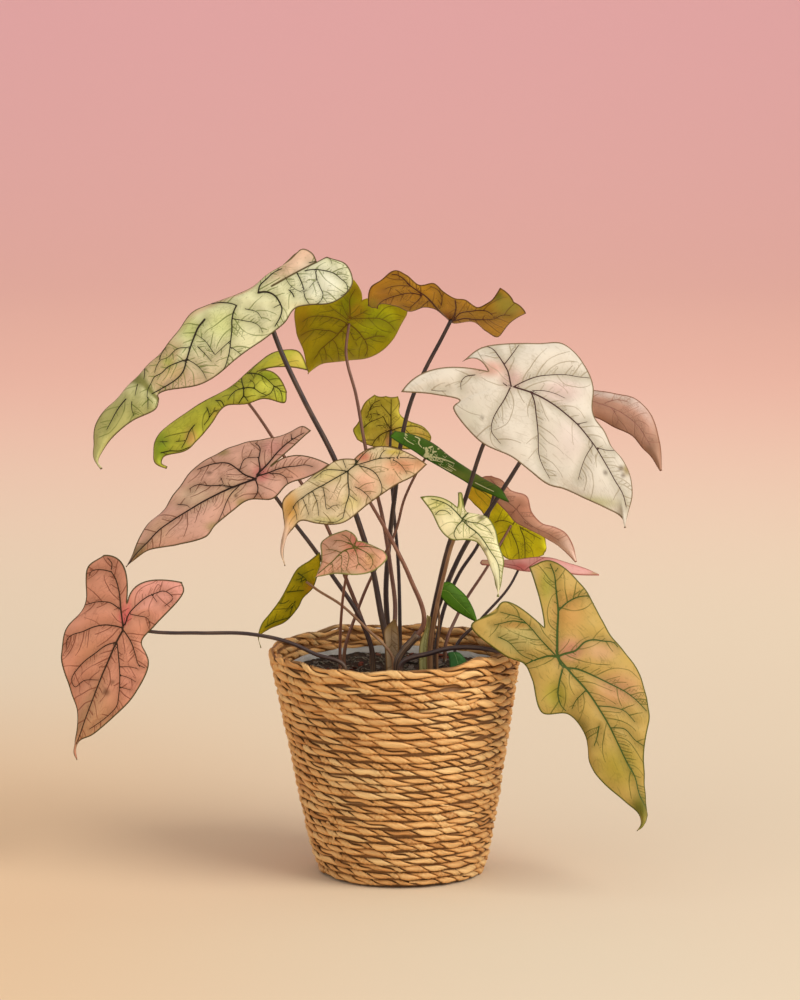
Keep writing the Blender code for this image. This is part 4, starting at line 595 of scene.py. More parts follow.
class LeafSettings(bpy.types.PropertyGroup):
    cell: distance_setting("Cell", "Size of a cell in a leaf's mesh", 1.25 * MM)
    thickness: distance_setting("Thickness", "Blade thickness away from the margin", 0.5 * MM)
    margin_thickness: distance_setting("Margin thickness", "Blade thickness at the margin", 0.22 * MM)
    puff: distance_setting("Puff", "How far the blade stands up between its veins", 1.3 * MM)
    crumple: distance_setting("Crumple", "Height of the soft unevenness of a blade", 0.5 * MM)
    wave: distance_setting("Margin wave", "Height of the small waves along the margin", 0.7 * MM)
    net_cell: distance_setting("Net cell", "Size of a mesh of the fine vein net", 3.2 * MM)
    roughness: number_setting("Roughness", "Of a blade", 0.5, 1)


class StalkSettings(bpy.types.PropertyGroup):
    stub_radius: distance_setting("Stub", "Radius of the broken old stalk", 2.3 * MM)
    stub_share: number_setting("Stub share", "How far up the thin stalk the stub goes", 0.28, 1)
    sides: count_setting("Sides", "Faces round a stalk", 14, 5)
    step: distance_setting("Step", "Length of a piece of stalk", 2.5 * MM)
    foot_flare: number_setting("Foot flare", "How much wider a stalk is where it leaves the soil", 1.3)
    brown: colour_setting("Brown", "Thick dark stalks", "#35272A")
    brown_streak: colour_setting("Brown streak", "Streaks on the dark stalks", "#6E5240")
    red: colour_setting("Red", "Thin reddish stalks", "#6E4536")
    red_streak: colour_setting("Red streak", "Streaks on the reddish stalks", "#A87A60")
    tan: colour_setting("Tan", "Pale stalks", "#8A6244")
    tan_streak: colour_setting("Tan streak", "Streaks on the pale stalks", "#BE9A72")


class BasketSettings(bpy.types.PropertyGroup):
    rows: count_setting("Rows", "Rings of rope, from the foot to the rim", 29, 3)
    strand_radius: distance_setting("Strand", "Radius of one of a rope's two strands", 1.5 * MM)
    strand_offset: distance_setting("Offset", "From the rope's middle to a strand's", 1.2 * MM)
    grain_length: distance_setting("Grain", "Rope length in which a strand turns once", 22 * MM)
    step: distance_setting("Step", "Length of a piece of strand", 2.1 * MM)
    sides: count_setting("Sides", "Faces round a strand", 8, 4)
    fibres: count_setting("Fibres", "Loose fibres that stand out", 110)
    # Pale is both the lightest strands' colour and the painted highlight on the strands' crests; the
    # crevice colour is painted shade deep between the strands.
    pale: colour_setting("Pale straw", "The lightest strands", "#FBD394")
    straw: colour_setting("Straw", "Most strands", "#EAB06B")
    tan: colour_setting("Tan straw", "The darkest strands", "#CC8F4F")
    crevice_shade: colour_setting("Crevice", "Deep between the strands", "#6C431E")


class SoilSettings(bpy.types.PropertyGroup):
    chips: count_setting("Bark chips", "On the soil", 150)
    roots: count_setting("Dry roots", "Fine roots and moss on the soil", 130)
    earth: colour_setting("Earth", "The soil", "#3A302A")
    bark: colour_setting("Bark", "Weathered bark", "#8A8078")
    red_bark: colour_setting("Red bark", "Fresh bark", "#8A4632")
    film: colour_setting("Film", "The liner", "#B9B8B4")


class StageSettings(bpy.types.PropertyGroup):
    floor: colour_setting("Floor", "The floor round the pot", "#E4D5BD")
    # The colour of the painted warm shadow on the floor to the left of the pot.
    painted_warm_shadow: colour_setting("Warm", "The floor to the left of the pot", "#EFC595")
    middle: colour_setting("Middle", "The floor behind the pot", "#E2B6A8")
    backdrop: colour_setting("Backdrop", "The backdrop far behind the pot", "#EEB4BC")
    sky: colour_setting("Sky", "The soft light all round", "#FFFCF6")
    sky_power: number_setting("Sky strength", "Of the light all round", 0.55)
    key_power: number_setting("Key power", "Of the main light, in watts", 64)
    fill_power: number_setting("Fill power", "Of the fill light, in watts", 6)
    backdrop_power: number_setting("Backdrop power", "Of the light on the backdrop, in watts", 34)


class Wire:
    """A shader value that Python's operators work on."""

    def __init__(self, graph, socket):
        self.graph = graph
        self.socket = socket

    def maths(self, operation, first, second=0.0):
        return self.graph.node("ShaderNodeMath", {"operation": operation}, {0: first, 1: second})

    def __add__(self, other):
        return self.maths("ADD", self, other)

    def __sub__(self, other):
        return self.maths("SUBTRACT", self, other)

    def __rsub__(self, other):
        return self.maths("SUBTRACT", other, self)

    def __mul__(self, other):
        return self.maths("MULTIPLY", self, other)

    def __truediv__(self, other):
        return self.maths("DIVIDE", self, other)

    __radd__ = __add__
    __rmul__ = __mul__


class Graph:
    """A material's nodes."""

    def __init__(self, name):
        self.material = bpy.data.materials.new(name)
        self.material.use_nodes = True
        self.tree = self.material.node_tree
        self.shader = self.tree.nodes["Principled BSDF"]

    def node(self, kind, settings, sockets, output=0):
        made = self.tree.nodes.new(kind)
        for name, value in settings.items():
            setattr(made, name, value)
        for name, value in sockets.items():
            self.plug(made.inputs[name], value)
        return Wire(self, made.outputs[output])

    def plug(self, socket, value):
        if isinstance(value, Wire):
            self.tree.links.new(value.socket, socket)
        elif socket.type == "RGBA":
            socket.default_value = (*(paint(value) if isinstance(value, str) else value), 1)
        else:
            socket.default_value = value

    def attribute(self, name, output="Fac"):
        return self.node("ShaderNodeAttribute", {"attribute_name": name}, {}, output)

    def space(self):
        """The place on the object."""
        return self.node("ShaderNodeTexCoord", {}, {}, "Object")

    def map(self, name):
        return self.node("ShaderNodeUVMap", {"uv_map": name}, {})

    def mix(self, share, first, second, way="MIX"):
        settings = {"data_type": "RGBA", "blend_type": way}
        return self.node("ShaderNodeMix", settings, {0: share, 6: first, 7: second}, 2)

    def multiply(self, first, second):
        return self.mix(1.0, first, second, "MULTIPLY")

    def fade(self, value, start, end, low=0.0, high=1.0):
        """From low where value is start to high where it is end, smoothly."""
        settings = {"interpolation_type": "SMOOTHSTEP"}
        sockets = {"Value": value, "From Min": start, "From Max": end, "To Min": low, "To Max": high}
        return self.node("ShaderNodeMapRange", settings, sockets)

    def noise(self, vector, scale, detail=2.0, roughness=0.5):
        sockets = {"Vector": vector, "Scale": scale, "Detail": detail, "Roughness": roughness}
        return self.node("ShaderNodeTexNoise", {}, sockets)

    def stretch(self, vector, scale):
        return self.node("ShaderNodeMapping", {}, {"Vector": vector, "Scale": scale})

    def net(self, vector):
        """The distance to the nearest line of an irregular net, in cells."""
        settings = {"feature": "DISTANCE_TO_EDGE"}
        return self.node("ShaderNodeTexVoronoi", settings, {"Vector": vector, "Scale": 1.0})

    def bump(self, height, distance):
        return self.node("ShaderNodeBump", {}, {"Height": height, "Distance": distance})

    def finish(self, **sockets):
        for name, value in sockets.items():
            self.plug(self.shader.inputs[name.replace("_", " ")], value)
        return self.material


def unit(vectors):
    return vectors / np.maximum(np.linalg.norm(vectors, axis=-1, keepdims=True), 1e-12)


def travelled(route):
    """How far along a route each of its points is."""
    return np.concatenate(((0,), np.linalg.norm(np.diff(route, axis=0), axis=1).cumsum()))


def soft_waves(points, wavelength, seed):
    """Smooth unevenness between -1 and 1 over points, from crossed waves."""
    luck = np.random.default_rng(seed)
    total = np.zeros(points.shape[:-1])
    for _ in range(9):
        direction = unit(luck.normal(size=3))
        length = wavelength * luck.uniform(0.7, 1.6)
        total += np.sin(math.tau * (points @ direction) / length + luck.uniform(0, math.tau))
    return total / 4.5


def sight_direction(pixels):
    """The direction from the eye through each pixel."""
    across, down = np.moveaxis((np.asarray(pixels, float) - VIEW_CENTRE_PIXEL) / VIEW_FOCAL_PIXELS, -1, 0)
    return VIEW_FORWARD + across[..., None] * VIEW_RIGHT - down[..., None] * VIEW_UP


def at_depth(pixel, depth):
    """The point seen at a pixel, at this distance behind the pot's centre."""
    direction = sight_direction(pixel)
    depth = np.asarray(depth, float)
    return VIEW_EYE + direction * ((depth - VIEW_EYE[1]) / direction[..., 1])[..., None]


def on_leaning_plane(pixels, anchor, lean):
    """The points seen at the pixels on the plane through anchor that gets deeper by lean."""
    direction = sight_direction(pixels)
    lean_x, lean_z = lean
    from_anchor = VIEW_EYE - anchor
    reach = -(from_anchor[1] - lean_x * from_anchor[0] - lean_z * from_anchor[2])
    reach = reach / (direction[..., 1] - lean_x * direction[..., 0] - lean_z * direction[..., 2])
    return VIEW_EYE + direction * reach[..., None]


def smooth_through(points, knots, places):
    """Points at the places along a smooth curve that passes through points at the knots."""
    points = np.asarray(points, float)
    one_each = (-1, *[1] * (points.ndim - 1))
    steps = np.diff(knots).reshape(one_each)
    slopes = np.diff(points, axis=0) / steps
    before, after = steps[:-1], steps[1:]
    bends = (slopes[:-1] * after + slopes[1:] * before) / (before + after)
    tangents = np.concatenate((slopes[:1], bends, slopes[-1:]))
    k = np.clip(np.searchsorted(knots, places, side="right") - 1, 0, len(steps) - 1)
    t = (np.asarray(places) - knots[k]).reshape(one_each) / steps[k]
    return (
        (1 + 2 * t) * (1 - t) ** 2 * points[k]
        + t * (1 - t) ** 2 * steps[k] * tangents[k]
        + t * t * (3 - 2 * t) * points[k + 1]
        - t * t * (1 - t) * steps[k] * tangents[k + 1])


def five_across(row, tip_way):
    """A row's left margin, left bend, rib, right bend and right margin, from what it states."""
    row = np.array(row, float).reshape(-1, 2)
    if len(row) == 1:
        row = row + np.outer((1, 0, -1), (tip_way[1], -tip_way[0])) * TIP_HALF_WIDTH_PIXELS
    gaps = np.linalg.norm(np.diff(row, axis=0), axis=1)
    states_left_bend = len(row) == 5 or len(row) == 4 and gaps[0] >= gaps[2]
    if not states_left_bend:
        row = np.insert(row, 1, bent_middle(row[0], row[1], tip_way), axis=0)
    if len(row) == 4:
        row = np.insert(row, 3, bent_middle(row[3], row[2], tip_way), axis=0)
    return row


def bent_middle(margin, rib, tip_way):
    """The middle of a vein that leaves the rib squarely and sweeps towards the tip."""
    sweep = VEIN_SWEEP * np.linalg.norm(margin - rib)
    return (margin + rib) / 2 - sweep * tip_way


def blade_net(leaf):
    """The leaf's rows as five pixels each, and how far along the leaf each row is."""
    ribs = [np.array(row, float).reshape(-1, 2) for row in leaf.rows]
    ribs = np.array([row[len(row) // 2] for row in ribs])
    rows = []
    for k, row in enumerate(leaf.rows):
        tip_way = ribs[min(k + 1, len(ribs) - 1)] - ribs[max(k - 1, 0)]
        rows.append(five_across(row, tip_way / np.linalg.norm(tip_way)))
    net = np.array(rows)
    steps = np.linalg.norm(np.diff(net, axis=0), axis=2)[:, (0, 2, 4)].mean(axis=1)
    return net, np.concatenate(((0,), np.cumsum(steps)))


def blade_pixels(net, knots, places, across):
    """The photograph's pixel at each place along the leaf and each share across it."""
    rows = smooth_through(net, knots, places)
    half = np.abs(across)[None, :, None]
    left, left_bend, rib, right_bend, right = (rows[:, None, k] for k in range(5))
    towards_left = (across < 0)[None, :, None]
    bend = np.where(towards_left, left_bend, right_bend)
    margin = np.where(towards_left, left, right)
    return (1 - half) * (1 - 2 * half) * rib + 4 * half * (1 - half) * bend + half * (2 * half - 1) * margin


def blade_surface(leaf, net, knots, places, across):
    """The leaf's middle surface: one point for each place along it and each share across it."""
    joint = at_depth(net[leaf.joint_row, 2], leaf.depth * MM)
    pixels = blade_pixels(net, knots, places, across)
    points = on_leaning_plane(pixels, joint, leaf.lean)
    along = (np.array(places) / knots[-1])[:, None]
    side = across[None, :]
    back = leaf.cup * side**2 + leaf.droop * along**2
    back = back + leaf.ruffle * side**2 * np.sin(math.tau * (2.5 * along + 0.3 * side))
    direction = sight_direction(pixels)
    return points + direction * (back * MM / direction[..., 1])[..., None]


def surface_normals(grid):
    """The unit normal at each point of a grid, on the side that its columns and rows turn round."""
    return unit(np.cross(np.gradient(grid, axis=1), np.gradient(grid, axis=0)))


def way_from(start, end, points):
    """The way to each point from the nearest place between start and end."""
    way = end - start
    share = np.clip((points - start) @ way / max(way @ way, 1e-18), 0, 1)
    return points - start - share[:, None] * way


def distance_to_line(points, line):
    """The least distance from each point to a line."""
    nearest = np.full(len(points), np.inf)
    for start, end in zip(line[:-1], line[1:]):
        nearest = np.minimum(nearest, np.linalg.norm(way_from(start, end, points), axis=1))
    return nearest


def vein_route(vein):
    """A vein's smooth route in pixels, and its half width along it."""
    start_width, end_width, *path = vein
    stated = np.array(path, float).reshape(-1, 2)
    knots = travelled(stated)
    places = np.linspace(0, knots[-1], max(2, math.ceil(knots[-1] / VEIN_STEP_PIXELS)) + 1)
    widths = start_width + (end_width - start_width) * places / knots[-1]
    return smooth_through(stated, knots, places), widths / 10 / 2 * MM / PIXEL


def side_veins(routes, reach, luck):
    """Fine veins that leave the main ones on both sides and stop short of any other vein."""
    made = []
    for own, (route, _) in enumerate(routes):
        others = [other for k, (other, _) in enumerate(routes) if k != own]
        length = len(route) * VEIN_STEP_PIXELS
        place = luck.uniform(2, 5)
        while place < length - 4:
            k = min(int(place / VEIN_STEP_PIXELS), len(route) - 2)
            way = unit(route[k + 1] - route[k])
            for turn in (-1, 1):
                angle = turn * math.radians(luck.uniform(48, 60))
                steps = [route[k] + way * luck.uniform(-1.5, 1.5)]
                taken = np.concatenate((*others, *(line for line, _ in made), ((-99, -99),)))
                for _ in range(luck.integers(6, 8 + round(reach / 5))):
                    cos, sin = math.cos(angle), math.sin(angle)
                    heading = np.array((way[0] * cos - way[1] * sin, way[0] * sin + way[1] * cos))
                    ahead = steps[-1] + heading * SIDE_STEP_PIXELS
                    if np.linalg.norm(taken - ahead, axis=1).min() < SIDE_GAP_PIXELS:
                        break
                    steps.append(ahead)
                    angle += luck.normal(0, 0.09) - turn * 0.05
                if len(steps) > 2:
                    made.append((np.array(steps), np.linspace(0.75, 0.3, len(steps))))
            place += luck.uniform(6, 9)
    return made


def nearest_vein(pixels, routes):
    """For each pixel the way to the nearest vein, its length, and the vein's half width there."""
    far = np.full(len(pixels), 99.0)
    ways = np.full((len(pixels), 3), 99.0)
    halves = np.full(len(pixels), 0.3)
    for route, widths in routes:
        for start, end, half in zip(route[:-1], route[1:], widths):
            offset = way_from(start, end, pixels)
            distance = np.linalg.norm(offset, axis=1)
            closer = distance < far
            far[closer] = distance[closer]
            ways[closer, :2] = offset[closer]
            ways[closer, 2] = 0
            halves[closer] = half
    return ways, far, halves


def margin_line(grid):
    """The blade's outline as one line: its back edge, right margin, tip and left margin."""
    return np.concatenate((grid[0], grid[1:, -1], grid[-1, -2::-1], grid[-2::-1, 0]))


def add_attribute(mesh, name, values):
    """Store a number or a vector for each vertex."""
    values = np.asarray(values, np.float32)
    kind, field = ("FLOAT", "value") if values.ndim == 1 else ("FLOAT_VECTOR", "vector")
    mesh.attributes.new(name, kind, "POINT").data.foreach_set(field, values.ravel())


def add_colours(mesh, name, colours):
    filled = np.ones((len(colours), 4), np.float32)
    filled[:, :3] = colours
    mesh.color_attributes.new(name, "FLOAT_COLOR", "POINT").data.foreach_set("color", filled.ravel())


def add_map(mesh, name, places):
    """A UV map from one place for each vertex."""
    corners = np.empty(len(mesh.loops), np.int32)
    mesh.loops.foreach_get("vertex_index", corners)
    mesh.uv_layers.new(name=name).data.foreach_set("uv", np.asarray(places, np.float32)[corners].ravel())


def new_piece(name, points, faces, material, replaced=()):
    """A finished mesh piece that rides with the pot and stands for the CAD nodes it replaces."""
    mesh = bpy.data.meshes.new(name)
    mesh.from_pydata(np.asarray(points).tolist(), [], faces)
    mesh.shade_smooth()
    mesh.materials.append(material)
    piece = bpy.data.objects.new(name, mesh)
    bpy.context.scene.collection.objects.link(piece)
    settle(piece, replaced)
    return piece


def settle(piece, replaced=()):
    if replaced:
        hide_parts(*replaced)
    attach(piece, "root")


def grid_faces(rows, columns, turned=False, closed=False, ring=False):
    """Quads between neighbouring rows and columns, closed round the columns and the rows if asked."""
    faces = []
    for i in range(rows if ring else rows - 1):
        row, beyond = i * columns, (i + 1) % rows * columns
        for j in range(columns if closed else columns - 1):
            beside = (j + 1) % columns
            face = (row + j, row + beside, beyond + beside, beyond + j)
            faces.append(face[::-1] if turned else face)
    return faces


def sheet_faces(rows, columns):
    """The faces of a closed sheet: a front grid, a back grid and the strip round their edge."""
    count = rows * columns
    faces = grid_faces(rows, columns)
    faces += [tuple(k + count for k in face) for face in grid_faces(rows, columns, turned=True)]
    edge = [j for j in range(columns)]
    edge += [i * columns + columns - 1 for i in range(1, rows)]
    edge += [(rows - 1) * columns + j for j in range(columns - 2, -1, -1)]
    edge += [i * columns for i in range(rows - 2, 0, -1)]
    for start, end in zip(edge, edge[1:] + edge[:1]):
        faces.append((end, start, start + count, end + count))
    return faces


def blade_tints(look, row_at, across, pixels):
    """The blade's colour at each place: its own, under soft patches laid on in order."""
    rows, sides = np.meshgrid(row_at, across, indexing="ij")
    colours = np.empty((*rows.shape, 3))
    colours[:] = paint(look.blade)
    shares = []
    for row, side, row_reach, side_reach, colour, strength in look.tints:
        share = np.exp(-((rows - row) / row_reach) ** 4 - ((sides - side) / side_reach) ** 4)
        shares.append((strength * share, colour))
    for x, y, reach_across, reach_down, colour, strength in look.spots:
        away = ((pixels[..., 0] - x) / reach_across) ** 2 + ((pixels[..., 1] - y) / reach_down) ** 2
        shares.append((strength * np.exp(-(away ** 1.4)), colour))
    for share, colour in shares:
        colours = colours * (1 - share[..., None]) + np.array(paint(colour)) * share[..., None]
    return colours


def drawn_veins(graph, name):
    """A line along the veins stored under this name, from the way to the nearest one."""
    way = graph.attribute(name + "_way", "Vector")
    length = graph.node("ShaderNodeVectorMath", {"operation": "LENGTH"}, {0: way}, "Value")
    line = graph.fade(length / graph.attribute(name + "_half"), 1.15, 0.55)
    return line * graph.fade(graph.attribute(name + "_far"), 3.6, 2.6), length


def leaf_material(name, look, settings):
    """A blade with its main veins, a fine net between them, a margin line, soft mottling, and painted shade
    along its main veins with painted highlight between them.
    """
    graph = Graph(name)
    tint = graph.attribute("tint", "Color")
    edge = graph.attribute("edge")
    hidden = graph.attribute("hidden")
    place = graph.map("leaf")
    space = graph.space()
    wobble = graph.node("ShaderNodeTexNoise", {}, {"Vector": space, "Scale": 160.0, "Detail": 2.0}, "Color")
    bent = graph.node("ShaderNodeVectorMath", {"operation": "MULTIPLY_ADD"}, {
        0: wobble, 1: (2.4 * MM, 4 * MM, 0), 2: place})
    cell = settings.net_cell
    fine = graph.net(graph.stretch(bent, (1 / cell, 0.55 / cell, 1)))
    patches = graph.noise(space, 70.0, 3.0)
    specks = graph.noise(space, 420.0, 4.0, 0.6)
    streaks = graph.noise(graph.stretch(bent, (620, 90, 1)), 1.0, 2.0)
    main_veins, vein_length = drawn_veins(graph, "main")
    side_lines, _ = drawn_veins(graph, "side")
    side_lines = side_lines * graph.fade(patches, 0.3, 0.62, 0.55, 1.0)
    fine_lines = graph.fade(fine, 0.09, 0.02) * graph.fade(patches, 0.42, 0.62, 0.0, 0.5)
    # A net-coloured band along the main veins: partly the veins' own tint, partly painted shade where the
    # blade dips to them.
    vein_band_tint_and_shade = graph.fade(vein_length, 3, 0.6) * 0.16
    colour = graph.mix(hidden * 0.65, tint, look.hidden)
    colour = graph.multiply(colour, graph.mix(patches, (1.1, 1.1, 1.1), (0.88, 0.88, 0.88)))
    # Painted shade near the main veins and painted highlight between them, for the blade's puckered relief.
    painted_quilt_shade = graph.fade(graph.attribute("main_far"), 1, 10)
    colour = graph.multiply(colour, graph.mix(painted_quilt_shade, (0.84, 0.84, 0.8), (1.06, 1.06, 1.06)))
    specked = graph.fade(specks, 0.56, 0.72) * 0.22
    streaked = graph.fade(streaks, 0.6, 0.72) * 0.3
    for share in (specked, streaked, fine_lines * 0.4, vein_band_tint_and_shade, side_lines * 0.8):
        colour = graph.mix(share, colour, look.net)
    colour = graph.mix(main_veins, colour, look.vein)
    colour = graph.mix(graph.fade(edge, 1.3 * MM, 0.35 * MM), colour, look.margin)
    height = main_veins * -0.9 - side_lines * 0.45 - fine_lines * 0.2 + specks * 0.25
    return graph.finish(
        Base_Color=colour,
        Roughness=graph.fade(patches, 0.3, 0.7, settings.roughness - 0.06, settings.roughness + 0.1),
        Specular_IOR_Level=0.18,
        Normal=graph.bump(height, 0.35 * MM))


def add_blade(name, leaf, look, settings):
    """One leaf: a closed sheet whose veins are stored as the way to the nearest one."""
    net, knots = blade_net(leaf)
    places = []
    row_at = []
    for k, (start, end) in enumerate(zip(knots[:-1], knots[1:])):
        splits = max(2, math.ceil((end - start) * PIXEL / settings.cell))
        places.extend(start + (end - start) * part / splits for part in range(splits))
        row_at.extend(k + part / splits for part in range(splits))
    places.append(knots[-1])
    row_at.append(len(knots) - 1)
    widest = max(np.linalg.norm(net[:, 0] - net[:, 2], axis=1).max(),
                 np.linalg.norm(net[:, 4] - net[:, 2], axis=1).max())
    half_columns = max(5, math.ceil(widest * PIXEL / settings.cell))
    across = np.linspace(-1, 1, 2 * half_columns + 1)
    pixels = blade_pixels(net, knots, places, across)
    grid = blade_surface(leaf, net, knots, places, across)
    rows, columns = grid.shape[:2]
    points = grid.reshape(-1, 3)
    seed = sum(map(ord, name))

    margin = distance_to_line(points, margin_line(grid))
    routes = [vein_route(vein) for vein in look.veins]
    veins = {
        "main": nearest_vein(pixels.reshape(-1, 2), routes),
        "side": nearest_vein(
            pixels.reshape(-1, 2), side_veins(routes, widest, np.random.default_rng(seed)))}
    vein = veins["main"][1] * PIXEL

    normal = surface_normals(grid).reshape(-1, 3)
    towards_viewer = normal if normal[:, 1].mean() < 0 else -normal
    away_from_stalk = -towards_viewer if leaf.below else towards_viewer
    inside = 1 - np.exp(-(margin / (5 * MM)) ** 2)
    size = min(1, widest * PIXEL / (28 * MM))
    lift = settings.puff * size * (1 - np.exp(-(vein / (5 * MM)) ** 2)) * inside
    lift = lift + settings.crumple * size * soft_waves(points, 22 * MM, seed) * inside
    outer = np.abs(np.tile(across, rows)) ** 4
    lift = lift + settings.wave * size * outer * soft_waves(points, 16 * MM, seed + 1)
    points = points + away_from_stalk * lift[:, None]

    half = settings.thickness / 2 * (1 - np.exp(-(margin / (2 * MM)) ** 2))
    half = (half + settings.margin_thickness / 2)[:, None]
    sheet = np.concatenate((points + normal * half, points - normal * half))
    first_faces_viewer = normal[:, 1].mean() < 0
    hidden = np.repeat((0.0, 1.0) if first_faces_viewer else (1.0, 0.0), len(points))
    span = np.linalg.norm(np.diff(grid, axis=1), axis=2).cumsum(axis=1)
    span = np.concatenate((np.zeros((rows, 1)), span), axis=1)
    span = span - span[:, half_columns:half_columns + 1]
    lengthwise = np.repeat(np.array(places) * PIXEL, columns)
    leaf_map = np.stack((span.reshape(-1), lengthwise), axis=1)

    material = leaf_material(name, look, settings)
    piece = new_piece(name + "_dressed", sheet, sheet_faces(rows, columns), material, (name,))
    mesh = piece.data
    for kind, (ways, far, halves) in veins.items():
        add_attribute(mesh, kind + "_way", np.tile(ways, (2, 1)))
        add_attribute(mesh, kind + "_far", np.tile(far, 2))
        add_attribute(mesh, kind + "_half", np.tile(halves, 2))
    add_attribute(mesh, "edge", np.tile(margin, 2))
    add_attribute(mesh, "hidden", hidden)
    tints = blade_tints(look, row_at, across, pixels).reshape(-1, 3)
    add_colours(mesh, "tint", np.tile(tints, (2, 1)))
    add_map(mesh, "leaf", np.tile(leaf_map, (2, 1)))


def tube(route, radii, sides):
    """Points and faces of a round tube with closed ends, and each point's turn and length."""
    route = np.asarray(route, float)
    way = unit(np.gradient(route, axis=0))
    side = unit(np.cross(way, (0.31, 0.95, 0.05)))
    other = np.cross(way, side)
    turns = np.linspace(0, math.tau, sides, endpoint=False)
    round_it = np.cos(turns)[None, :, None] * side[:, None] + np.sin(turns)[None, :, None] * other[:, None]
    points = route[:, None] + round_it * np.asarray(radii)[:, None, None]
    length = travelled(route)
    faces = grid_faces(len(route), sides, closed=True)
    last = (len(route) - 1) * sides
    faces.append(tuple(range(sides))[::-1])
    faces.append(tuple(range(last, last + sides)))
    places = np.stack(np.broadcast_arrays(turns[None, :] / math.tau, length[:, None]), axis=-1)
    return points.reshape(-1, 3), faces, places.reshape(-1, 2)


class Bundle:
    """Collects the points, faces and attributes of many small shapes that make one piece."""

    def __init__(self):
        self.points, self.faces, self.places, self.shades = [], [], [], []
        self.count = 0

    def add(self, points, faces, places, shades):
        self.faces.extend(tuple(k + self.count for k in face) for face in faces)
        self.points.append(points)
        self.places.append(places)
        self.shades.append(shades)
        self.count += len(points)

    def make(self, name, material, replaced=()):
        piece = new_piece(name, np.concatenate(self.points), self.faces, material, replaced)
        add_map(piece.data, "strand", np.concatenate(self.places))
        add_attribute(piece.data, "shade", np.concatenate(self.shades))
        return piece


def stalk_material(name, dark, streak):
    graph = Graph(name)
    place = graph.map("strand")
    space = graph.space()
    streaks = graph.noise(graph.stretch(place, (9, 45, 1)), 1.0, 4.0, 0.6)
    blotches = graph.noise(space, 90.0, 3.0)
    lines = graph.noise(graph.stretch(place, (22, 18, 1)), 1.0, 2.0)
    foot = graph.attribute("shade")
    colour = graph.mix(graph.fade(streaks, 0.45, 0.72) * 0.75, dark, streak)
    colour = graph.mix(graph.fade(blotches, 0.52, 0.75) * 0.35, colour, streak)
    colour = graph.mix(graph.fade(foot, 0.22, 0.0) * graph.fade(lines, 0.42, 0.6), colour, "#8A6E4C")
    return graph.finish(
        Base_Color=colour,
        Roughness=graph.fade(streaks, 0.3, 0.8, 0.34, 0.55),
        Specular_IOR_Level=0.5,
        Normal=graph.bump(streaks + lines * 0.6, 0.12 * MM))


def stalk_route(name, stalk, step):
    """Points from below the soil up to the leaf's joint, on the joint's far side from the blade."""
    leaf = LEAVES[stalk.leaf or name.replace("stalk", "blade")]
    net, knots = blade_net(leaf)
    grid = blade_surface(leaf, net, knots, knots, np.linspace(-1, 1, 9))
    joint = grid[leaf.joint_row, 4]
    normal = surface_normals(grid)[leaf.joint_row, 4]
    outwards = normal if (normal[1] < 0) == leaf.below else -normal
    pixels = np.array(stalk.path + (tuple(net[leaf.joint_row, 2]),), float)
    gone = travelled(pixels)
    depths = stalk.root_depth + (leaf.depth - stalk.root_depth) * gone / gone[-1]
    route = [at_depth(pixel, depth * MM) for pixel, depth in zip(pixels, depths)]
    arriving = unit(joint - route[-2])
    tilt = math.sqrt(max(0, 1 - float(arriving @ outwards) ** 2))
    route[-1] = joint + outwards * stalk.joint_radius * MM * tilt * 0.8
    root = route[0].copy()
    root[2] = SOIL_TOP - ROOT_DEPTH
    collar = root.copy()
    collar[2] = SOIL_TOP + SOIL_BUMP
    if route[0][2] < collar[2] + 3 * MM:
        route = route[1:]
    route = np.array([root, collar, *route])
    knots = travelled(route)
    count = max(12, math.ceil(knots[-1] / step))
    return smooth_through(route, knots, np.linspace(0, knots[-1], count))


class CALADIUM_OT_stalks(bpy.types.Operator):
    """Add the leaf stalks"""

    bl_idname = "caladium.stalks"
    bl_label = "Stalks"

    def execute(self, context):
        settings = context.scene.caladium_stalks
        finishes = {
            "stalk_brown": (settings.brown, settings.brown_streak),
            "stalk_red": (settings.red, settings.red_streak),
            "stalk_tan": (settings.tan, settings.tan_streak)}
        materials = {slot: stalk_material(slot, *colours) for slot, colours in finishes.items()}
        for name, stalk in STALKS.items():
            route = stalk_route(name, stalk, settings.step)
            share = np.linspace(0, 1, len(route))
            radii = stalk.root_radius + (stalk.joint_radius - stalk.root_radius) * share
            flare = 1 + (settings.foot_flare - 1) * np.exp(-share / 0.09)
            bundle = Bundle()
            points, faces, places = tube(route, radii * flare * MM, settings.sides)
            bundle.add(points, faces, places, np.repeat(share, settings.sides))
            bundle.make(name + "_dressed", materials[stalk.slot], (name,))
            if name == STUBBED_STALK:
                self.add_stub(route[share < settings.stub_share], settings, materials["stalk_brown"])
        return {"FINISHED"}

    def add_stub(self, route, settings, material):
        """The thick old stalk that broke off where the thin one leaves it, with a ragged end."""
        luck = np.random.default_rng(5)
        share = np.linspace(0, 1, len(route))
        radii = settings.stub_radius * (1 + 0.05 * luck.normal(size=len(route)) + 0.3 * share**12)
        bundle = Bundle()
        points, faces, places = tube(route, radii, settings.sides)
        ragged = np.repeat(share > 0.97, settings.sides)
        points[ragged] += luck.normal(0, 0.35 * MM, (ragged.sum(), 3))
        bundle.add(points, faces, places, np.full(len(points), 0.1))
        bundle.make("old_stalk_stub", material)


class CALADIUM_OT_leaves(bpy.types.Operator):
    """Add the leaf blades and the papery sheaths"""

    bl_idname = "caladium.leaves"
    bl_label = "Leaves"

    def execute(self, context):
        settings = context.scene.caladium_leaves
        for name, leaf in (LEAVES | SHEATHS).items():
            add_blade(name, leaf, LOOKS[name], settings)
        return {"FINISHED"}


def wall_radius(height):
    """The basket's outer radius at a height: a tucked-in foot, then a straight flare."""
    share = height / BASKET_HEIGHT
    foot = 4 * MM * (1 - math.exp(-max(height, 0) / (9 * MM)))
    return BASE_RADIUS + foot + (RIM_RADIUS - BASE_RADIUS - 4 * MM) * share


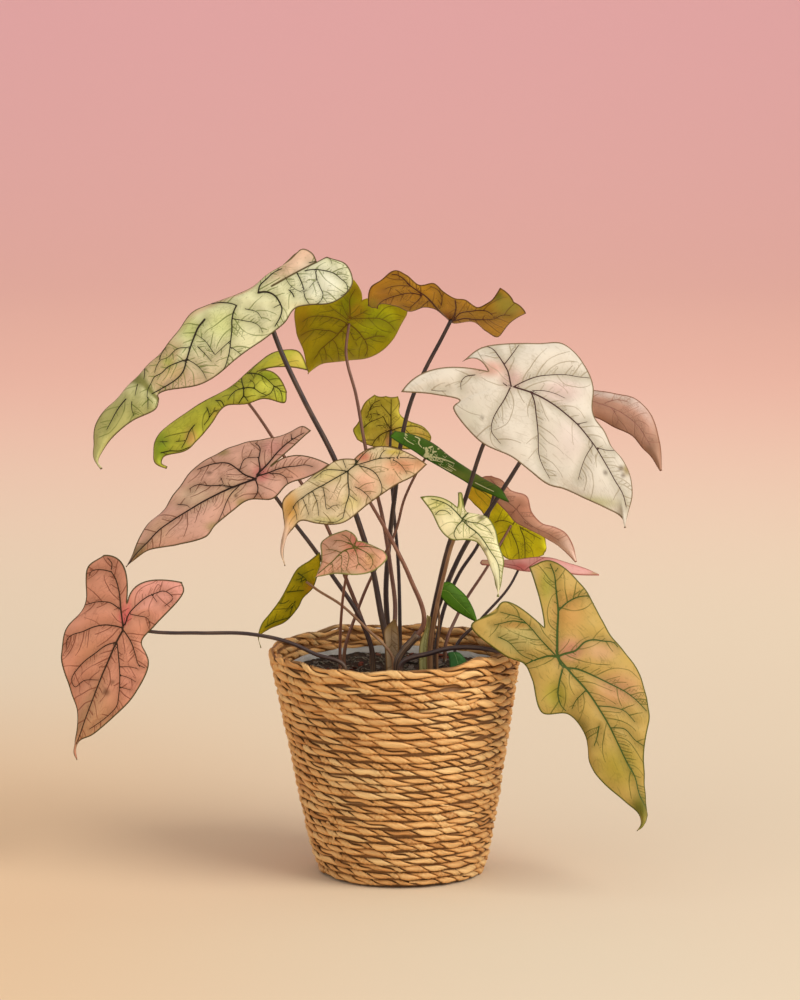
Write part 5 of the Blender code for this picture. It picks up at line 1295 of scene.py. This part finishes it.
def basket_points(angles, radii, heights):
    """Points on the leaning basket, whose top rises towards the right of the front."""
    towards = np.maximum(0, np.cos(angles - RIM_RISE_TOWARDS)) ** 3
    lift = RIM_RISE * towards * (np.maximum(heights, 0) / BASKET_HEIGHT) ** 4
    lean = BASKET_LEAN * heights / BASKET_HEIGHT
    return np.stack((radii * np.cos(angles) + lean, radii * np.sin(angles), heights + lift), axis=-1)


def straw_material(settings):
    """Dry grass: each turn of a strand has its own tone, with fibres along it, a painted highlight on the
    strands' outer crests and painted shade deep between them.
    """
    graph = Graph("straw")
    place = graph.map("strand")
    space = graph.space()
    shade = graph.attribute("shade")
    deep = graph.attribute("deep")
    fibres = graph.noise(graph.stretch(place, (9, 90, 1)), 1.0, 5.0, 0.65)
    patches = graph.noise(space, 55.0, 3.0)
    colour = graph.mix(graph.fade(shade, 0.0, 0.3), settings.tan, settings.straw)
    colour = graph.mix(graph.fade(shade, 0.55, 1.0) * 0.85, colour, settings.pale)
    colour = graph.mix(graph.fade(fibres, 0.52, 0.75) * 0.5, colour, settings.tan)
    colour = graph.mix(graph.fade(fibres, 0.45, 0.2) * 0.5, colour, settings.pale)
    colour = graph.mix(graph.fade(patches, 0.58, 0.8) * 0.35, colour, settings.tan)
    # Painted highlight on the outermost crest of each strand, then painted shade deep in the crevices
    # between strands.
    colour = graph.mix(graph.fade(deep, 0.22, 0.02) * 0.35, colour, settings.pale)
    colour = graph.mix(graph.fade(deep, 0.4, 0.86) * 0.85, colour, settings.crevice_shade)
    return graph.finish(
        Base_Color=colour,
        Roughness=graph.fade(fibres, 0.3, 0.8, 0.5, 0.75),
        Specular_IOR_Level=0.4,
        Normal=graph.bump(fibres, 0.55 * MM))


def uneven_round(luck, low, high, angles, turns):
    """A few crossed waves round the basket, with strengths between low and high."""
    return sum(luck.uniform(low, high) * np.sin(k * angles + luck.uniform(0, math.tau)) for k in turns)


def add_rope(bundle, deeps, middle, height, radius, grain_length, loose, settings, luck):
    """One ring of rope: two flat strands that turn round each other, each a little uneven."""
    offset = settings.strand_offset * radius / settings.strand_radius
    turns = max(3, round(math.tau * middle / grain_length))
    count = math.ceil(math.tau * middle / settings.step)
    angles = np.linspace(0, math.tau, count, endpoint=False)
    start = luck.uniform(0, math.tau)
    uneven = uneven_round(luck, 0.15, 0.5, angles, (2, 3, 5, 7, 11, 16, 23))
    sway = uneven_round(luck, 0.1, 0.34, angles, (2, 4, 7, 11, 17)) * loose * MM
    out = np.stack((np.cos(angles), np.sin(angles), np.zeros(count)), axis=-1)
    spread = np.linspace(0, math.tau, settings.sides, endpoint=False)
    reach = offset + 0.82 * radius
    for strand in range(2):
        twist = start + math.pi * strand - turns * angles + uneven
        grain = np.floor(twist / math.tau + 0.5).astype(int)
        index = (grain - grain.min()) % (turns + 4)
        tones = luck.uniform(0, 1, turns + 4)
        size = luck.uniform(0.7, 1.25, turns + 4)[index]
        size = sum(np.roll(size, k) for k in (-2, -1, 0, 1, 2)) / 5
        size = size * (0.78 + 0.3 * np.abs(np.cos(twist)))
        ring_radius = middle + offset * np.cos(twist)
        route = basket_points(angles, ring_radius, height + offset * np.sin(twist) + sway)
        way = unit(np.roll(route, -1, axis=0) - np.roll(route, 1, axis=0))
        side = unit(out - (out * way).sum(axis=1, keepdims=True) * way)
        other = np.cross(way, side)
        cos, sin = np.cos(twist)[:, None], np.sin(twist)[:, None]
        outwards = (cos * side - sin * other)[:, None] * (0.82 * np.cos(spread))[None, :, None]
        round_it = (sin * side + cos * other)[:, None] * (1.22 * np.sin(spread))[None, :, None]
        rims = (outwards + round_it) * (radius * size)[:, None, None]
        points = route[:, None] + rims
        faces = grid_faces(count, settings.sides, closed=True, ring=True)
        length = np.broadcast_to((angles * middle)[:, None], points.shape[:2])
        turn = np.broadcast_to(spread[None, :] / math.tau, points.shape[:2])
        places = np.stack((turn, length), axis=-1).reshape(-1, 2)
        outward = np.cos(twist)[:, None] * offset + (rims * side[:, None]).sum(axis=-1)
        bundle.add(points.reshape(-1, 3), faces, places, np.repeat(tones[index], settings.sides))
        deeps.append((1 - np.abs(outward) / reach).reshape(-1))


def add_backing(settings, material):
    """The thin dark wall and floor within the rope, so that no light comes through; their darkness is the
    painted shade of the crevices.
    """
    heights = np.array((1.2, 6, 14, 30, 60, 100, 140.5)) * MM
    angles = np.linspace(0, math.tau, 96, endpoint=False)
    reach = settings.strand_radius + settings.strand_offset
    profile = [(2 * MM, heights[0])]
    profile += [(wall_radius(height) + 1.2 * MM - reach, height) for height in heights]
    profile += [(wall_radius(height) + 0.6 * MM - reach, max(height, 2.2 * MM)) for height in heights[::-1]]
    profile.append((2 * MM, 2.2 * MM))
    rings = [basket_points(angles, radius, height) for radius, height in profile]
    points = np.concatenate(rings)
    faces = grid_faces(len(rings), 96, closed=True)
    faces.append(tuple(range(96))[::-1])
    faces.append(tuple(range(len(points) - 96, len(points))))
    piece = new_piece("basket_backing", points, faces, material, ("basket",))
    places = np.stack((points[:, 0], points[:, 2]), axis=-1)
    add_map(piece.data, "strand", places)
    add_attribute(piece.data, "shade", np.full(len(points), 0.3))
    # At full depth the backing takes the crevice's painted shade all over.
    add_attribute(piece.data, "deep", np.full(len(points), 1.0))


def add_fibres(settings, material, luck):
    """Loose fibres and cut ends that stand out from the basket."""
    bundle = Bundle()
    for _ in range(settings.fibres):
        angle = luck.uniform(0, math.tau)
        height = luck.uniform(4 * MM, BASKET_HEIGHT - 3 * MM)
        cut_end = luck.uniform(0, 1) < 0.3
        length = luck.uniform(*((3, 6) if cut_end else (4, 15))) * MM
        lift = luck.uniform(0.5 * MM, 2.6 * MM)
        drop = luck.uniform(-0.5, 0.3)
        share = np.linspace(0, 1, 7)
        angles = angle + length * share / wall_radius(height)
        radii = wall_radius(height) - 0.6 * MM + lift * share**1.5
        heights = height + drop * length * share + luck.uniform(-1, 1) * MM * np.sin(3 * share)
        route = basket_points(angles, radii, heights)
        thick = luck.uniform(*((0.5, 0.9) if cut_end else (0.12, 0.3))) * MM
        points, faces, places = tube(route, thick * (1 - 0.6 * share), 5)
        bundle.add(points, faces, places, np.full(len(points), luck.uniform(0.4, 1)))
    piece = bundle.make("basket_loose_fibres", material)
    # At no depth, the fibres take the painted crest highlight all over.
    add_attribute(piece.data, "deep", np.zeros(bundle.count))


class CALADIUM_OT_basket(bpy.types.Operator):
    """Add the woven basket"""

    bl_idname = "caladium.basket"
    bl_label = "Basket"

    def execute(self, context):
        settings = context.scene.caladium_basket
        luck = np.random.default_rng(7)
        material = straw_material(settings)
        reach = settings.strand_radius + settings.strand_offset
        low, high = reach + 0.9 * MM, BASKET_HEIGHT - reach + 0.4 * MM
        middle_row = settings.rows // 2
        halves = ((0, middle_row, "basket_lower_rows"), (middle_row, settings.rows, "basket_upper_rows"))
        for first, last, name in halves:
            bundle = Bundle()
            deeps = []
            for row in range(first, last):
                up = row / (settings.rows - 1)
                height = low + (high - low) * up
                radius = settings.strand_radius * (1 + 0.18 * up**4)
                grain_length = settings.grain_length * (luck.uniform(0.8, 1.3) + 0.25 * up**3)
                add_rope(bundle, deeps, wall_radius(height) + 1.5 * MM - reach, height, radius,
                         grain_length, 1 + 1.4 * up**8, settings, luck)
            piece = bundle.make(name, material, ("basket",))
            add_attribute(piece.data, "deep", np.concatenate(deeps))
        add_backing(settings, material)
        add_fibres(settings, material, luck)
        return {"FINISHED"}


def liner_material(settings):
    graph = Graph("liner_film")
    space = graph.space()
    creases = graph.noise(space, 130.0, 5.0, 0.6)
    dirt = graph.noise(space, 60.0, 4.0)
    colour = graph.mix(graph.fade(dirt, 0.45, 0.75) * 0.6, settings.film, "#7A6A58")
    return graph.finish(
        Base_Color=colour,
        Roughness=graph.fade(creases, 0.3, 0.7, 0.25, 0.45),
        Specular_IOR_Level=0.5,
        Normal=graph.bump(creases, 1.2 * MM))


def soil_material(settings):
    graph = Graph("soil_crumb")
    space = graph.space()
    crumbs = graph.noise(space, 420.0, 6.0, 0.7)
    patches = graph.noise(space, 90.0, 3.0)
    colour = graph.mix(graph.fade(crumbs, 0.45, 0.7), settings.earth, "#5A4636")
    colour = graph.mix(graph.fade(patches, 0.5, 0.75) * 0.7, colour, "#3A2418")
    return graph.finish(
        Base_Color=colour,
        Roughness=0.95,
        Specular_IOR_Level=0.15,
        Normal=graph.bump(crumbs, 1.5 * MM))


def bark_material(name, dark, pale):
    graph = Graph(name)
    space = graph.space()
    grain = graph.noise(graph.stretch(space, (1, 1, 2.5)), 380.0, 5.0, 0.65)
    colour = graph.mix(graph.fade(grain, 0.35, 0.7), dark, pale)
    return graph.finish(
        Base_Color=colour,
        Roughness=0.9,
        Specular_IOR_Level=0.2,
        Normal=graph.bump(grain, 0.6 * MM))


def inside_radius(height):
    return wall_radius(height) - BASKET_WALL - 0.3 * MM


class CALADIUM_OT_liner(bpy.types.Operator):
    """Add the thin liner inside the basket"""

    bl_idname = "caladium.liner"
    bl_label = "Liner"

    def execute(self, context):
        settings = context.scene.caladium_soil
        bpy.ops.object.select_all(action="DESELECT")
        bottom = 6.6 * MM
        top_radius = inside_radius(LINER_TOP) - 0.8 * MM
        bottom_radius = inside_radius(bottom) - 0.8 * MM
        bpy.ops.mesh.primitive_cone_add(
            vertices=120, radius1=bottom_radius, radius2=top_radius, depth=LINER_TOP - bottom,
            end_fill_type="NGON", location=(0, 0, (LINER_TOP + bottom) / 2))
        liner = context.active_object
        liner.name = "liner_dressed"
        bpy.ops.object.transform_apply(location=True, rotation=True, scale=True)
        shape = bmesh.new()
        shape.from_mesh(liner.data)
        lid = [face for face in shape.faces if face.calc_center_median().z > LINER_TOP - 1 * MM]
        bmesh.ops.delete(shape, geom=lid, context="FACES_ONLY")
        sides = [edge for edge in shape.edges if abs(edge.verts[0].co.z - edge.verts[1].co.z) > 1 * MM]
        bmesh.ops.subdivide_edges(shape, edges=sides, cuts=24)
        for vertex in shape.verts:
            height = vertex.co.z
            angle = math.atan2(vertex.co.y, vertex.co.x)
            upper = max(0, height / LINER_TOP) ** 6
            crinkle = noise.noise(Vector((math.cos(angle) * 9, math.sin(angle) * 9, height * 60)))
            vertex.co.xy *= 1 - 0.004 * upper - abs(crinkle) * 0.012 * upper
            ragged = noise.noise(Vector((math.cos(angle) * 3, math.sin(angle) * 3, 4)))
            vertex.co.z += upper**4 * (1.5 * ragged + 0.8 * crinkle) * MM
            vertex.co.x += BASKET_LEAN * height / BASKET_HEIGHT
        shape.to_mesh(liner.data)
        shape.free()
        solidify = liner.modifiers.new("film", "SOLIDIFY")
        solidify.thickness = 0.25 * MM
        bpy.ops.object.modifier_apply(modifier="film")
        liner.data.shade_smooth()
        liner.data.materials.append(liner_material(settings))
        settle(liner, ("liner",))
        return {"FINISHED"}


def soil_height(x, y):
    """The uneven top of the soil."""
    waves = math.sin(x * 210 + 1) * math.cos(y * 190) + 0.6 * math.sin(x * 90 - y * 130)
    crumbs = noise.fractal(Vector((x, y, 0)) * 260, 0.8, 2.2, 4)
    return SOIL_TOP + SOIL_BUMP * (0.6 * waves + 0.75 * crumbs)


def soil_spot(luck, inset):
    """A random place on the soil, at least this far inside the liner."""
    reach = (inside_radius(SOIL_TOP) - inset) * math.sqrt(luck.uniform(0, 1))
    angle = luck.uniform(0, math.tau)
    return reach * math.cos(angle), reach * math.sin(angle)


def chip_shape(luck):
    """A rough flake of bark about one unit long, from a bevelled cube."""
    shape = bmesh.new()
    bmesh.ops.create_cube(shape, size=1)
    bmesh.ops.bevel(shape, geom=shape.edges[:], offset=0.18, segments=1, affect="EDGES")
    for vertex in shape.verts:
        vertex.co += Vector(luck.uniform(-0.12, 0.12, 3))
    points = np.array([vertex.co[:] for vertex in shape.verts])
    faces = [tuple(vertex.index for vertex in face.verts) for face in shape.faces]
    shape.free()
    return points, faces


class CALADIUM_OT_soil(bpy.types.Operator):
    """Add the potting soil with its bark and fine roots"""

    bl_idname = "caladium.soil"
    bl_label = "Soil"

    def execute(self, context):
        settings = context.scene.caladium_soil
        self.add_earth(context, settings)
        luck = np.random.default_rng(11)
        self.add_chips(luck, settings)
        self.add_roots(luck)
        return {"FINISHED"}

    def add_earth(self, context, settings):
        bpy.ops.object.select_all(action="DESELECT")
        radius = inside_radius(SOIL_TOP) - 2.1 * MM
        bpy.ops.mesh.primitive_grid_add(x_subdivisions=110, y_subdivisions=110, size=2 * radius)
        earth = context.active_object
        earth.name = "soil_dressed"
        shape = bmesh.new()
        shape.from_mesh(earth.data)
        for vertex in shape.verts:
            x, y = vertex.co.x / radius, vertex.co.y / radius
            vertex.co.x = radius * x * math.sqrt(1 - y * y / 2)
            vertex.co.y = radius * y * math.sqrt(1 - x * x / 2)
        rim = [edge for edge in shape.edges if edge.is_boundary]
        skirt = bmesh.ops.extrude_edge_only(shape, edges=rim)["geom"]
        low = [part for part in skirt if isinstance(part, bmesh.types.BMVert)]
        upper = set(shape.verts) - set(low)
        for vertex in upper:
            vertex.co.z = soil_height(vertex.co.x, vertex.co.y)
        for vertex in low:
            vertex.co.z = 60 * MM
            vertex.co.xy *= 0.8
        bottom = [edge for edge in shape.edges if edge.is_boundary]
        bmesh.ops.contextual_create(shape, geom=bottom)
        bmesh.ops.recalc_face_normals(shape, faces=shape.faces)
        for vertex in shape.verts:
            vertex.co.x += BASKET_LEAN * vertex.co.z / BASKET_HEIGHT
        shape.to_mesh(earth.data)
        shape.free()
        earth.data.shade_smooth()
        earth.data.materials.append(soil_material(settings))
        settle(earth, ("soil",))

    def add_chips(self, luck, settings):
        weathered = bark_material("bark_weathered", "#3E352E", settings.bark)
        fresh = bark_material("bark_fresh", "#3A1E16", settings.red_bark)
        for name, material, share in (("bark_weathered", weathered, 0.65), ("bark_fresh", fresh, 0.35)):
            bundle = Bundle()
            for _ in range(round(settings.chips * share)):
                points, faces = chip_shape(luck)
                size = np.array((luck.uniform(3, 8), luck.uniform(2, 5), luck.uniform(0.8, 2))) * MM
                turn = luck.uniform(0, math.tau)
                tilt = luck.normal(0, 0.25)
                x, y = soil_spot(luck, 7 * MM)
                points = points * size
                points[:, 2] += points[:, 0] * tilt
                cos, sin = math.cos(turn), math.sin(turn)
                points[:, :2] = points[:, :2] @ np.array(((cos, sin), (-sin, cos)))
                points += (x + SOIL_SHIFT, y, soil_height(x, y) + 0.3 * MM)
                bundle.add(points, faces, points[:, :2], np.zeros(len(points)))
            bundle.make("soil_" + name, material)

    def add_roots(self, luck):
        settings = bpy.context.scene.caladium_soil
        material = bark_material("dry_moss", "#3A352C", "#A89E8A")
        bundle = Bundle()
        for _ in range(settings.roots):
            x, y = soil_spot(luck, 8 * MM)
            heading = luck.uniform(0, math.tau)
            length = luck.uniform(6, 20) * MM
            share = np.linspace(0, 1, 9)
            bend = heading + luck.uniform(-1.5, 1.5) * share
            x = x + length * share * np.cos(bend)
            y = y + length * share * np.sin(bend)
            inside = np.hypot(x, y) < inside_radius(SOIL_TOP) - 4 * MM
            x, y = x[inside], y[inside]
            if len(x) < 4:
                continue
            arch = luck.uniform(0.3, 3) * MM * np.sin(math.pi * np.linspace(0, 1, len(x)))
            z = np.array([soil_height(a, b) for a, b in zip(x, y)]) + arch
            route = np.stack((x + SOIL_SHIFT, y, z), axis=-1)
            thick = np.full(len(x), luck.uniform(0.12, 0.35) * MM)
            points, faces, places = tube(route, thick, 5)
            bundle.add(points, faces, places, np.zeros(len(points)))
        bundle.make("soil_roots_and_moss", material)


def stage_material(settings):
    """Paper that turns from beige round the pot to pale pink far behind it, with a painted warm shadow on
    the floor to the left of the pot.
    """
    graph = Graph("backdrop_paper")
    space = graph.space()
    depth = graph.node("ShaderNodeSeparateXYZ", {}, {"Vector": space}, "Y")
    grain = graph.noise(space, 900.0, 2.0)
    paper = graph.mix(graph.fade(depth, 0.7, 2.4), settings.floor, settings.middle)
    paper = graph.mix(graph.fade(depth, 2.2, 5.2), paper, settings.backdrop)
    left = graph.node("ShaderNodeSeparateXYZ", {}, {"Vector": space}, "X")
    # Painted warm shadow: the floor to the left of the pot, where its shadow falls, is tinted warm.
    painted_warm_shadow = graph.fade(left, 0.15, -0.35) * graph.fade(depth, 0.7, 0.1)
    paper = graph.mix(painted_warm_shadow * 0.6, paper, settings.painted_warm_shadow)
    shade = graph.multiply(paper, graph.mix(grain, (1.02, 1.02, 1.02), (0.98, 0.98, 0.98)))
    return graph.finish(Base_Color=shade, Roughness=0.9, Specular_IOR_Level=0.2)


class CALADIUM_OT_stage(bpy.types.Operator):
    """Add the floor, the backdrop, the lights and the camera"""

    bl_idname = "caladium.stage"
    bl_label = "Stage"

    def execute(self, context):
        settings = context.scene.caladium_stage
        self.add_floor(context, settings)
        plant = Vector(VIEW_TARGET)
        self.add_light("key_light", (1.9, -1.3, 2.0), plant, 2.2, settings.key_power)
        self.add_light("fill_light", (-1.8, -1.2, 1.1), plant, 1.6, settings.fill_power)
        self.add_light("backdrop_light", (0, 1.6, 2.4), Vector((0, 4.6, 0.1)), 2, settings.backdrop_power)
        self.add_sky(context, settings)
        self.add_camera(context)
        return {"FINISHED"}

    def add_floor(self, context, settings):
        """A sheet that curves up behind the pot, from an extruded and bevelled plane."""
        bpy.ops.object.select_all(action="DESELECT")
        bpy.ops.mesh.primitive_plane_add(size=12, location=(0, 0, 0))
        floor = context.active_object
        floor.name = "floor"
        shape = bmesh.new()
        shape.from_mesh(floor.data)
        back = [edge for edge in shape.edges if all(vertex.co.y > 5 for vertex in edge.verts)]
        raised = bmesh.ops.extrude_edge_only(shape, edges=back)["geom"]
        bmesh.ops.translate(
            shape, verts=[part for part in raised if isinstance(part, bmesh.types.BMVert)], vec=(0, 0, 8))
        corner = [edge for edge in shape.edges if all(
            vertex.co.y > 5 and vertex.co.z < 0.1 for vertex in edge.verts)]
        bmesh.ops.bevel(shape, geom=corner, offset=3, segments=16, affect="EDGES", profile=0.5)
        shape.to_mesh(floor.data)
        shape.free()
        floor.data.shade_smooth()
        floor.data.materials.append(stage_material(settings))

    def add_light(self, name, place, aim, size, power):
        lamp = bpy.data.lights.new(name, "AREA")
        lamp.shape = "DISK"
        lamp.size = size
        lamp.energy = power
        lamp.color = paint("#FFF8EE")
        light = bpy.data.objects.new(name, lamp)
        light.location = place
        light.rotation_euler = (aim - light.location).to_track_quat("-Z", "Y").to_euler()
        bpy.context.scene.collection.objects.link(light)

    def add_sky(self, context, settings):
        world = bpy.data.worlds.new("soft_room")
        world.use_nodes = True
        background = world.node_tree.nodes["Background"]
        background.inputs["Color"].default_value = (*settings.sky, 1)
        background.inputs["Strength"].default_value = settings.sky_power
        context.scene.world = world
        context.scene.view_settings.view_transform = "Standard"

    def add_camera(self, context):
        lens = bpy.data.cameras.new("photo_view")
        lens.sensor_fit = "VERTICAL"
        lens.sensor_height = 36
        lens.lens = lens.sensor_height * VIEW_FOCAL_PIXELS / VIEW_HEIGHT_PIXELS
        camera = bpy.data.objects.new("photo_view", lens)
        camera.location = VIEW_EYE
        camera.rotation_euler = (math.pi / 2 - VIEW_PITCH, 0, 0)
        context.scene.collection.objects.link(camera)
        context.scene.camera = camera


OPERATORS = (
    CALADIUM_OT_stage, CALADIUM_OT_basket, CALADIUM_OT_liner, CALADIUM_OT_soil, CALADIUM_OT_stalks,
    CALADIUM_OT_leaves)
SETTINGS = {
    "caladium_leaves": LeafSettings,
    "caladium_stalks": StalkSettings,
    "caladium_basket": BasketSettings,
    "caladium_soil": SoilSettings,
    "caladium_stage": StageSettings,
}


class CALADIUM_PT_panel(bpy.types.Panel):
    bl_idname = "CALADIUM_PT_panel"
    bl_label = "Caladium"
    bl_space_type = "VIEW_3D"
    bl_region_type = "UI"
    bl_category = "Caladium"

    def draw(self, context):
        for operator in OPERATORS:
            self.layout.operator(operator.bl_idname)
        for name, group in SETTINGS.items():
            box = self.layout.box()
            for setting in group.__annotations__:
                box.prop(getattr(context.scene, name), setting)


def register():
    for kind in (*SETTINGS.values(), *OPERATORS, CALADIUM_PT_panel):
        bpy.utils.register_class(kind)
    for name, group in SETTINGS.items():
        setattr(bpy.types.Scene, name, PointerProperty(type=group))


def unregister():
    for name in SETTINGS:
        delattr(bpy.types.Scene, name)
    for kind in (CALADIUM_PT_panel, *OPERATORS, *SETTINGS.values()):
        bpy.utils.unregister_class(kind)


def main():
    register()
    for operator in OPERATORS:
        group, action = operator.bl_idname.split(".")
        getattr(getattr(bpy.ops, group), action)()


if __name__ == "__main__":
    main()
